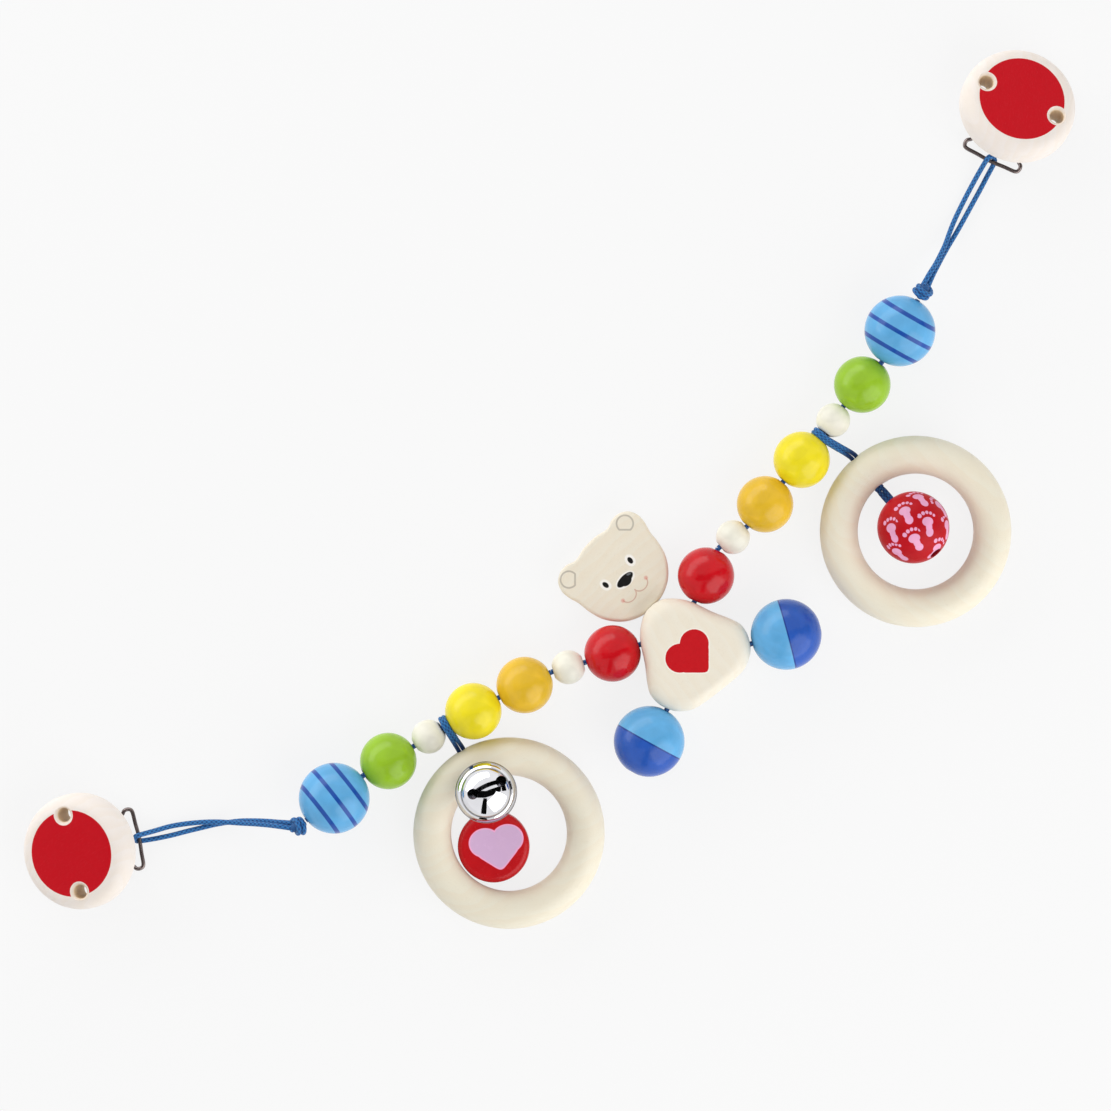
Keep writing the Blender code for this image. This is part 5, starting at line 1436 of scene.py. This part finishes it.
class PRAM_OT_clips(bpy.types.Operator):
    """Turns and paints the discs of the clips, and presses their steel"""

    bl_idname = "pram.clips"
    bl_label = "Clips"

    def execute(self, context):
        for side in SIDES:
            self.turn_disc(side)
            self.press_plate(side)
            self.bend_bar(side)
            self.press_lever(side)
            self.turn_pin(side)
            dress(f"{side}_clip_spring", bpy.data.materials["spring_steel"])
        return {"FINISHED"}

    def turn_disc(self, side):
        clips = bpy.context.scene.pram_clips
        bottom = clips.lever_lift + clips.sheet + clips.gap
        top, shoulder = bottom + clips.disc_thickness, bottom + clips.disc_wall
        face, vent = clips.face_radius, clips.vent_radius
        edge, rise = clips.disc_radius - face, top - shoulder
        profile = [(face * share, top) for share in QUARTERS]
        edge_steps = 18
        turns = [pi / 2 * index / edge_steps for index in range(edge_steps + 1)]
        profile += [(face + edge * sin(a), shoulder + rise * cos(a)) for a in turns]
        back = clips.disc_radius - clips.back_edge
        profile += [(clips.disc_radius, bottom + clips.back_edge), (back, bottom)]
        profile += [(back * share, bottom) for share in reversed(QUARTERS)]
        cutters = []
        for sign in (-1, 1):
            middle = Vector((0, sign * clips.vent_pitch / 2, 0))
            above = middle + UP * (top + OVER)
            cutters.append(bar_between(middle + UP * (bottom - OVER), above, vent, 48))
            cutters.append(bar_between(middle + UP * (top - 0.0009), above, vent, 48, vent + 0.0029))
        disc = cut(spun(profile, 144, closed=False), cutters)

        def face_paint(material, tint):
            """Red on the raised face but round the vents, whose bare wood gets painted shade, browner towards and
            inside each vent.
            """
            place = own_place(material)
            x, y, z = xyz(place)
            flat = joined(x, abs(y))
            off_vent = arrows("DISTANCE", flat, (0.0, clips.vent_pitch / 2, 0.0))
            ragged = noise(place, 1800.0) * 0.0001
            disc_mask = between(arrows("LENGTH", flat) + ragged, face + 0.0001, face - 0.00005)
            bare = between(off_vent + ragged, clips.bare_radius - 0.0001, clips.bare_radius + 0.0001)
            mask = disc_mask * bare * sums("GREATER_THAN", z, top - 0.0007)
            # Painted shade: the vent's wall is browner inside
            inside = between(off_vent, vent + 0.0002, vent - 0.0001) * 0.85
            tint = blend(inside, tint, srgb(224, 192, 144))
            # Painted shade on the vent's lip, deepening towards the hole
            lip = between(off_vent, vent + 0.0012, vent) * 0.35
            tint = blend(lip, tint, srgb(226, 196, 150))
            uneven = between(noise(place, 420.0, 3.0), 0.3, 0.7, 0.0, 0.25)
            red = blend(uneven, tuple(clips.paint), srgb(186, 8, 22))
            return blend(mask, tint, red), mask

        def grain(material):
            return mapped(own_place(material), turn=(0.1, 0.15, 0.5))

        wood = pale_wood(
            f"{side}_disc_wood", clips.wood, grain, face_paint, contrast=0.6, roughness=0.42, shine=0.12,
        )
        finish_piece(
            f"{side}_disc_turned", disc, f"{side}_lever_pressed", wood, [f"{side}_clip_disc"],
            rest_frame(side), 35,
        )

    def finish_steel(self, side, name, bm, part, placement, angle=30, material="spring_steel", pressed=False):
        """Stands one piece of steel on the plate's or on the pressed lever's body."""
        body = f"{side}_lever_pressed" if pressed else f"{side}_clip_hung"
        node = f"{side}_clip_{part}"
        finish_piece(f"{side}_{name}", bm, body, material, [node], placement, angle)

    def press_plate(self, side):
        """The toothed plate with the ears that hold the pin."""
        clips = bpy.context.scene.pram_clips
        pin = Vector((clips.pin_place, 0, clips.pin_height))
        half = clips.plate_width / 2
        plate = sheet_piece(toothed(clips.plate_start, clips.plate_end, half), 0)
        ears = eared(ear_outline(clips.sheet / 2 - clips.pin_height, clips.ear_rise), half)
        for ear in ears:
            bmesh.ops.translate(ear, vec=pin, verts=ear.verts)
            plate = cut(plate, [ear], "UNION")
        self.finish_steel(side, "plate_pressed", cut(plate, [pin_hole(pin)]), "plate", bar_frame(side))

    def bend_bar(self, side):
        """The wire bar that holds the cord, its two legs bent down onto the plate."""
        clips = bpy.context.scene.pram_clips
        wire, start = 0.0007, clips.plate_start
        half, inner = clips.bar_width / 2 - wire, clips.plate_width / 2 - 2 * wire
        foot = clips.sheet / 2 + wire / 4
        legs = [
            (start + 4 * wire, inner, foot), (start, inner, foot),
            (start * 0.62, inner + 0.0006, (foot + BAR_HEIGHT) / 2), (0.0028, half - 0.0001, BAR_HEIGHT),
            (0.0012, half, BAR_HEIGHT), (0.0002, half - 0.0011, BAR_HEIGHT), (0.0, half / 2, BAR_HEIGHT),
        ]
        bent = legs + [(-0.0003, 0, BAR_HEIGHT)] + [(x, -y, z) for x, y, z in reversed(legs)]
        bar = bmesh.new()
        sweep(bar, carried_frames(smooth_line([Vector(point) for point in bent], 0.0004)), wire, 20)
        self.finish_steel(side, "bar_bent", bar, "plate", bar_frame(side), 60, "browned_wire")

    def press_lever(self, side):
        """The toothed lever under the disc, with its ears on the pin."""
        clips = bpy.context.scene.pram_clips
        lean = clips.lever_tilt
        under = clips.pin_height + clips.lever_lift * cos(lean) - clips.sheet - clips.gap
        tip = under / sin(lean) - clips.tooth_depth
        half = clips.lever_width / 2
        lever = sheet_piece(toothed(-clips.lever_thumb, tip, half), clips.lever_lift)
        for ear in eared(ear_outline(clips.lever_lift + clips.sheet / 2, -clips.ear_rise), half):
            lever = cut(lever, [ear], "UNION")
        lever = cut(lever, [pin_hole(ORIGIN)])
        self.finish_steel(side, "lever_formed", lever, "lever", rest_frame(side), pressed=True)

    def turn_pin(self, side):
        """The pin through the ears, with a head at each end."""
        clips = bpy.context.scene.pram_clips
        ear, head, shaft = clips.plate_width / 2 + clips.gap, clips.pin_head_radius, clips.pin_radius
        end = ear + clips.pin_head
        upper = [(0, end), (head * 0.6, end), (head, end - clips.pin_head * 0.45), (head, ear), (shaft, ear)]
        pin = spun(upper + [(r, -z) for r, z in reversed(upper)], 40, closed=False)
        place = Matrix.Translation((clips.pin_place, 0, clips.pin_height))
        placement = bar_frame(side) @ place @ Matrix.Rotation(pi / 2, 4, "X")
        self.finish_steel(side, "pin_turned", pin, "pin", placement, 40)


def bar_frame(side):
    """The placement of a clip's plate: on the floor under its bar, X towards the jaw."""
    return flat_frame(pivot(f"{side}_clip_swing") - UP * BAR_HEIGHT, UP.cross(axis(f"{side}_clip_swing")))


def pin_hole(place):
    clips = bpy.context.scene.pram_clips
    reach = Vector((0, clips.plate_width / 2, 0)) * 1.2
    return bar_between(place - reach, place + reach, clips.pin_radius + clips.gap)


def toothed(start, end, half):
    """A plate's outline along X: rounded corners at its start, teeth at its end."""
    clips = bpy.context.scene.pram_clips
    teeth, corner_steps, notch = 5, 6, 0.0001
    pitch = 2 * half / teeth
    points = []
    for tooth in range(teeth):
        low = -half + tooth * pitch
        tip = (end + clips.tooth_depth, low + pitch / 2)
        points += [(end, low + notch), tip, (end, low + pitch - notch)]
    points = [Vector((*point, 0)) for point in points]
    for sign in (1, -1):
        middle = Vector((start + clips.corner, sign * (half - clips.corner), 0))
        for index in range(corner_steps + 1):
            share = index / corner_steps if sign > 0 else 1 - index / corner_steps
            turn = pi / 2 * (1 + share)
            points.append(middle + Vector((cos(turn), sign * sin(turn), 0)) * clips.corner)
    return points


def ear_outline(root, tip):
    """An ear's outline in X and Y from its root to its rounded tip."""
    clips = bpy.context.scene.pram_clips
    half, corner, corner_steps = clips.ear_length / 2, clips.corner * 0.6, 5
    way = 1 if tip > root else -1
    points = [Vector((half, root, 0))]
    for sign in (1, -1):
        middle = Vector((sign * (half - corner), tip - way * corner, 0))
        for index in range(corner_steps + 1):
            share = index / corner_steps if sign > 0 else 1 - index / corner_steps
            turn = pi / 2 * share
            points.append(middle + Vector((sign * cos(turn), way * sin(turn), 0)) * corner)
    return points + [Vector((-half, root, 0))]


def eared(outline, half):
    """The two upright ears at a sheet's sides."""
    sheet = bpy.context.scene.pram_clips.sheet
    return [sheet_piece(outline, sign * (half - sheet / 2) - sheet / 2, upright=True) for sign in (-1, 1)]


def sheet_piece(outline, start, upright=False):
    """A bmesh of pressed sheet with this outline, its edges eased, lying across Z or standing across Y."""
    clips = bpy.context.scene.pram_clips
    bm = bmesh.new()
    raise_face(bm, outline, clips.sheet)
    rims = [edge for edge in bm.edges if any(len(found.verts) > 4 for found in edge.link_faces)]
    bmesh.ops.bevel(
        bm, geom=rims, offset=clips.sheet_edge, segments=2, affect="EDGES", profile=0.5, material=-1,
    )
    if upright:
        swap = Matrix(((1, 0, 0, 0), (0, 0, 1, 0), (0, 1, 0, 0), (0, 0, 0, 1)))
        bmesh.ops.transform(bm, matrix=swap, verts=bm.verts)
    bmesh.ops.translate(bm, vec=(0, start, 0) if upright else (0, 0, start), verts=bm.verts)
    split_big_faces(bm)
    bmesh.ops.recalc_face_normals(bm, faces=bm.faces)
    return bm


# Corners of the black cloths round the bell
FLAGS = {
    "overhead_flag": (
        (-1.36, -0.57, 1.3), (0.0, -0.43, 1.3), (2.28, 0.23, 1.3),
        (2.9, 1.3, 1.3), (0.0, 0.16, 1.3), (-1.29, 0.2, 1.3),
    ),
    "upright_flag": ((-0.24, -0.5, 1.3), (0.1, -0.5, 1.3), (0.0, -0.5, 0.0), (-0.12, -0.5, 0.0)),
    "side_flag": ((2.9, 0.25, 1.3), (2.9, 1.35, 1.3), (2.9, 1.35, 0.1), (2.9, 0.25, 0.1)),
}
# Each lamp: which of the stage's powers it has, where it stands from the picture's middle, and its two sides
LAMPS = {
    "long_window": ("window", (-0.62, 0.72, 0.36), 2.4, 0.65),
    "square_softbox": ("softbox", (0.66, -0.60, 0.50), 1.3, 1.3),
}
LAMP_DISTANCE = 1.1


class PRAM_OT_stage(bpy.types.Operator):
    """Sets the pale floor, the soft lights and the camera"""

    bl_idname = "pram.stage"
    bl_label = "Stage"

    def execute(self, context):
        stage = context.scene.pram_stage
        self.lay_floor(stage)
        self.light(stage)
        bell = pivot("bell_swing")
        for name, corners in FLAGS.items():
            self.hang_flag(name, [Vector((bell.x, bell.y, 0)) + Vector(corner) for corner in corners])
        lens = bpy.data.cameras.new("camera")
        lens.lens = stage.lens
        lens.sensor_width = 36
        distance = stage.picture_width * stage.lens / lens.sensor_width
        camera = self.stand("camera", lens)
        camera.location = (stage.middle_x, stage.middle_y, distance + stage.level)
        context.scene.camera = camera
        context.scene.view_settings.view_transform = "Standard"
        return {"FINISHED"}

    def stand(self, name, data):
        obj = bpy.data.objects.new(name, data)
        bpy.context.scene.collection.objects.link(obj)
        return obj

    def stand_mesh(self, name, bm, material):
        mesh = bpy.data.meshes.new(name)
        bm.to_mesh(mesh)
        bm.free()
        mesh.materials.append(material)
        obj = self.stand(name, mesh)
        return obj

    def lay_floor(self, stage):
        """Paper that mostly shows its own white, and for the rest the light and shadow on it."""
        material, inputs = new_material("floor_paper", 0.9)
        feed(inputs["Base Color"], tuple(stage.floor))
        tree = material.node_tree
        glow = put(tree, "ShaderNodeEmission", {"Color": tuple(stage.floor), "Strength": 1.0})
        paper = tree.nodes["Principled BSDF"]
        share = seen_directly(tree) * stage.calm
        sides = {0: share, 1: Wire(paper.outputs[0]), 2: Wire(glow.outputs[0])}
        both = put(tree, "ShaderNodeMixShader", sides)
        feed(tree.nodes["Material Output"].inputs["Surface"], Wire(both.outputs[0]))
        bm = bmesh.new()
        bmesh.ops.create_grid(bm, x_segments=1, y_segments=1, size=3)
        self.stand_mesh("floor", bm, material)

    def light(self, stage):
        """An even white world, which the camera and reflections see at full strength, and two soft lamps."""
        world = bpy.data.worlds.new("studio")
        bpy.context.scene.world = world
        world.use_nodes = True
        background = world.node_tree.nodes["Background"].inputs
        feed(background["Strength"], seen_directly(world.node_tree) * (1.0 - stage.fill) + stage.fill)
        feed(background["Color"], (1, 1, 1))
        middle = Vector((stage.middle_x, stage.middle_y, 0))
        for name, (power, way, wide, tall) in LAMPS.items():
            lamp = bpy.data.lights.new(name, "AREA")
            lamp.energy = getattr(stage, power)
            lamp.shape = "RECTANGLE"
            lamp.size, lamp.size_y = wide, tall
            way = Vector(way).normalized()
            self.stand(name, lamp).matrix_world = aimed(middle + way * LAMP_DISTANCE, way)

    def hang_flag(self, name, corners):
        """A black cloth that only reflections show, so that metal and gloss keep their dark parts."""
        bm = bmesh.new()
        bm.faces.new([bm.verts.new(corner) for corner in corners])
        material, inputs = new_material(name + "_cloth", 1.0, shine=0.0)
        feed(inputs["Base Color"], (0.004, 0.004, 0.004))
        flag = self.stand_mesh(name, bm, material)
        for kind in ("camera", "diffuse", "transmission", "volume_scatter", "shadow"):
            setattr(flag, f"visible_{kind}", False)


def seen_directly(tree):
    """One for rays from the camera, from gloss and through glass, zero for all others."""
    rays = put(tree, "ShaderNodeLightPath").outputs
    seen = [Wire(rays[f"Is {kind} Ray"]) for kind in ("Camera", "Glossy", "Transmission")]
    return sums("MAXIMUM", seen[0], sums("MAXIMUM", seen[1], seen[2]))


class PRAM_PT_panel(bpy.types.Panel):
    """The toy's pieces, in the order in which they are made"""

    bl_idname = "PRAM_PT_panel"
    bl_label = "Pram chain toy"
    bl_space_type = "VIEW_3D"
    bl_region_type = "UI"
    bl_category = "Pram chain"

    def draw(self, context):
        for operator in OPERATORS:
            self.layout.operator(operator.bl_idname)
        for name, group in SETTINGS.items():
            box = self.layout.box()
            box.label(text=group.__doc__)
            for field in group.__annotations__:
                box.prop(getattr(context.scene, name), field)


OPERATORS = (
    PRAM_OT_finishes, PRAM_OT_stage, PRAM_OT_strings, PRAM_OT_tabs, PRAM_OT_loops, PRAM_OT_beads, PRAM_OT_bear,
    PRAM_OT_rings, PRAM_OT_ball, PRAM_OT_coin, PRAM_OT_bell, PRAM_OT_clips,
)


def register():
    for group in SETTINGS.values():
        bpy.utils.register_class(group)
    for name, group in SETTINGS.items():
        setattr(bpy.types.Scene, name, PointerProperty(type=group))
    for operator in OPERATORS:
        bpy.utils.register_class(operator)
    bpy.utils.register_class(PRAM_PT_panel)


def unregister():
    bpy.utils.unregister_class(PRAM_PT_panel)
    for operator in reversed(OPERATORS):
        bpy.utils.unregister_class(operator)
    for name in SETTINGS:
        delattr(bpy.types.Scene, name)
    for group in reversed(SETTINGS.values()):
        bpy.utils.unregister_class(group)


def main():
    register()
    for operator in OPERATORS:
        family, name = operator.bl_idname.split(".")
        getattr(getattr(bpy.ops, family), name)()


if __name__ == "__main__":
    main()
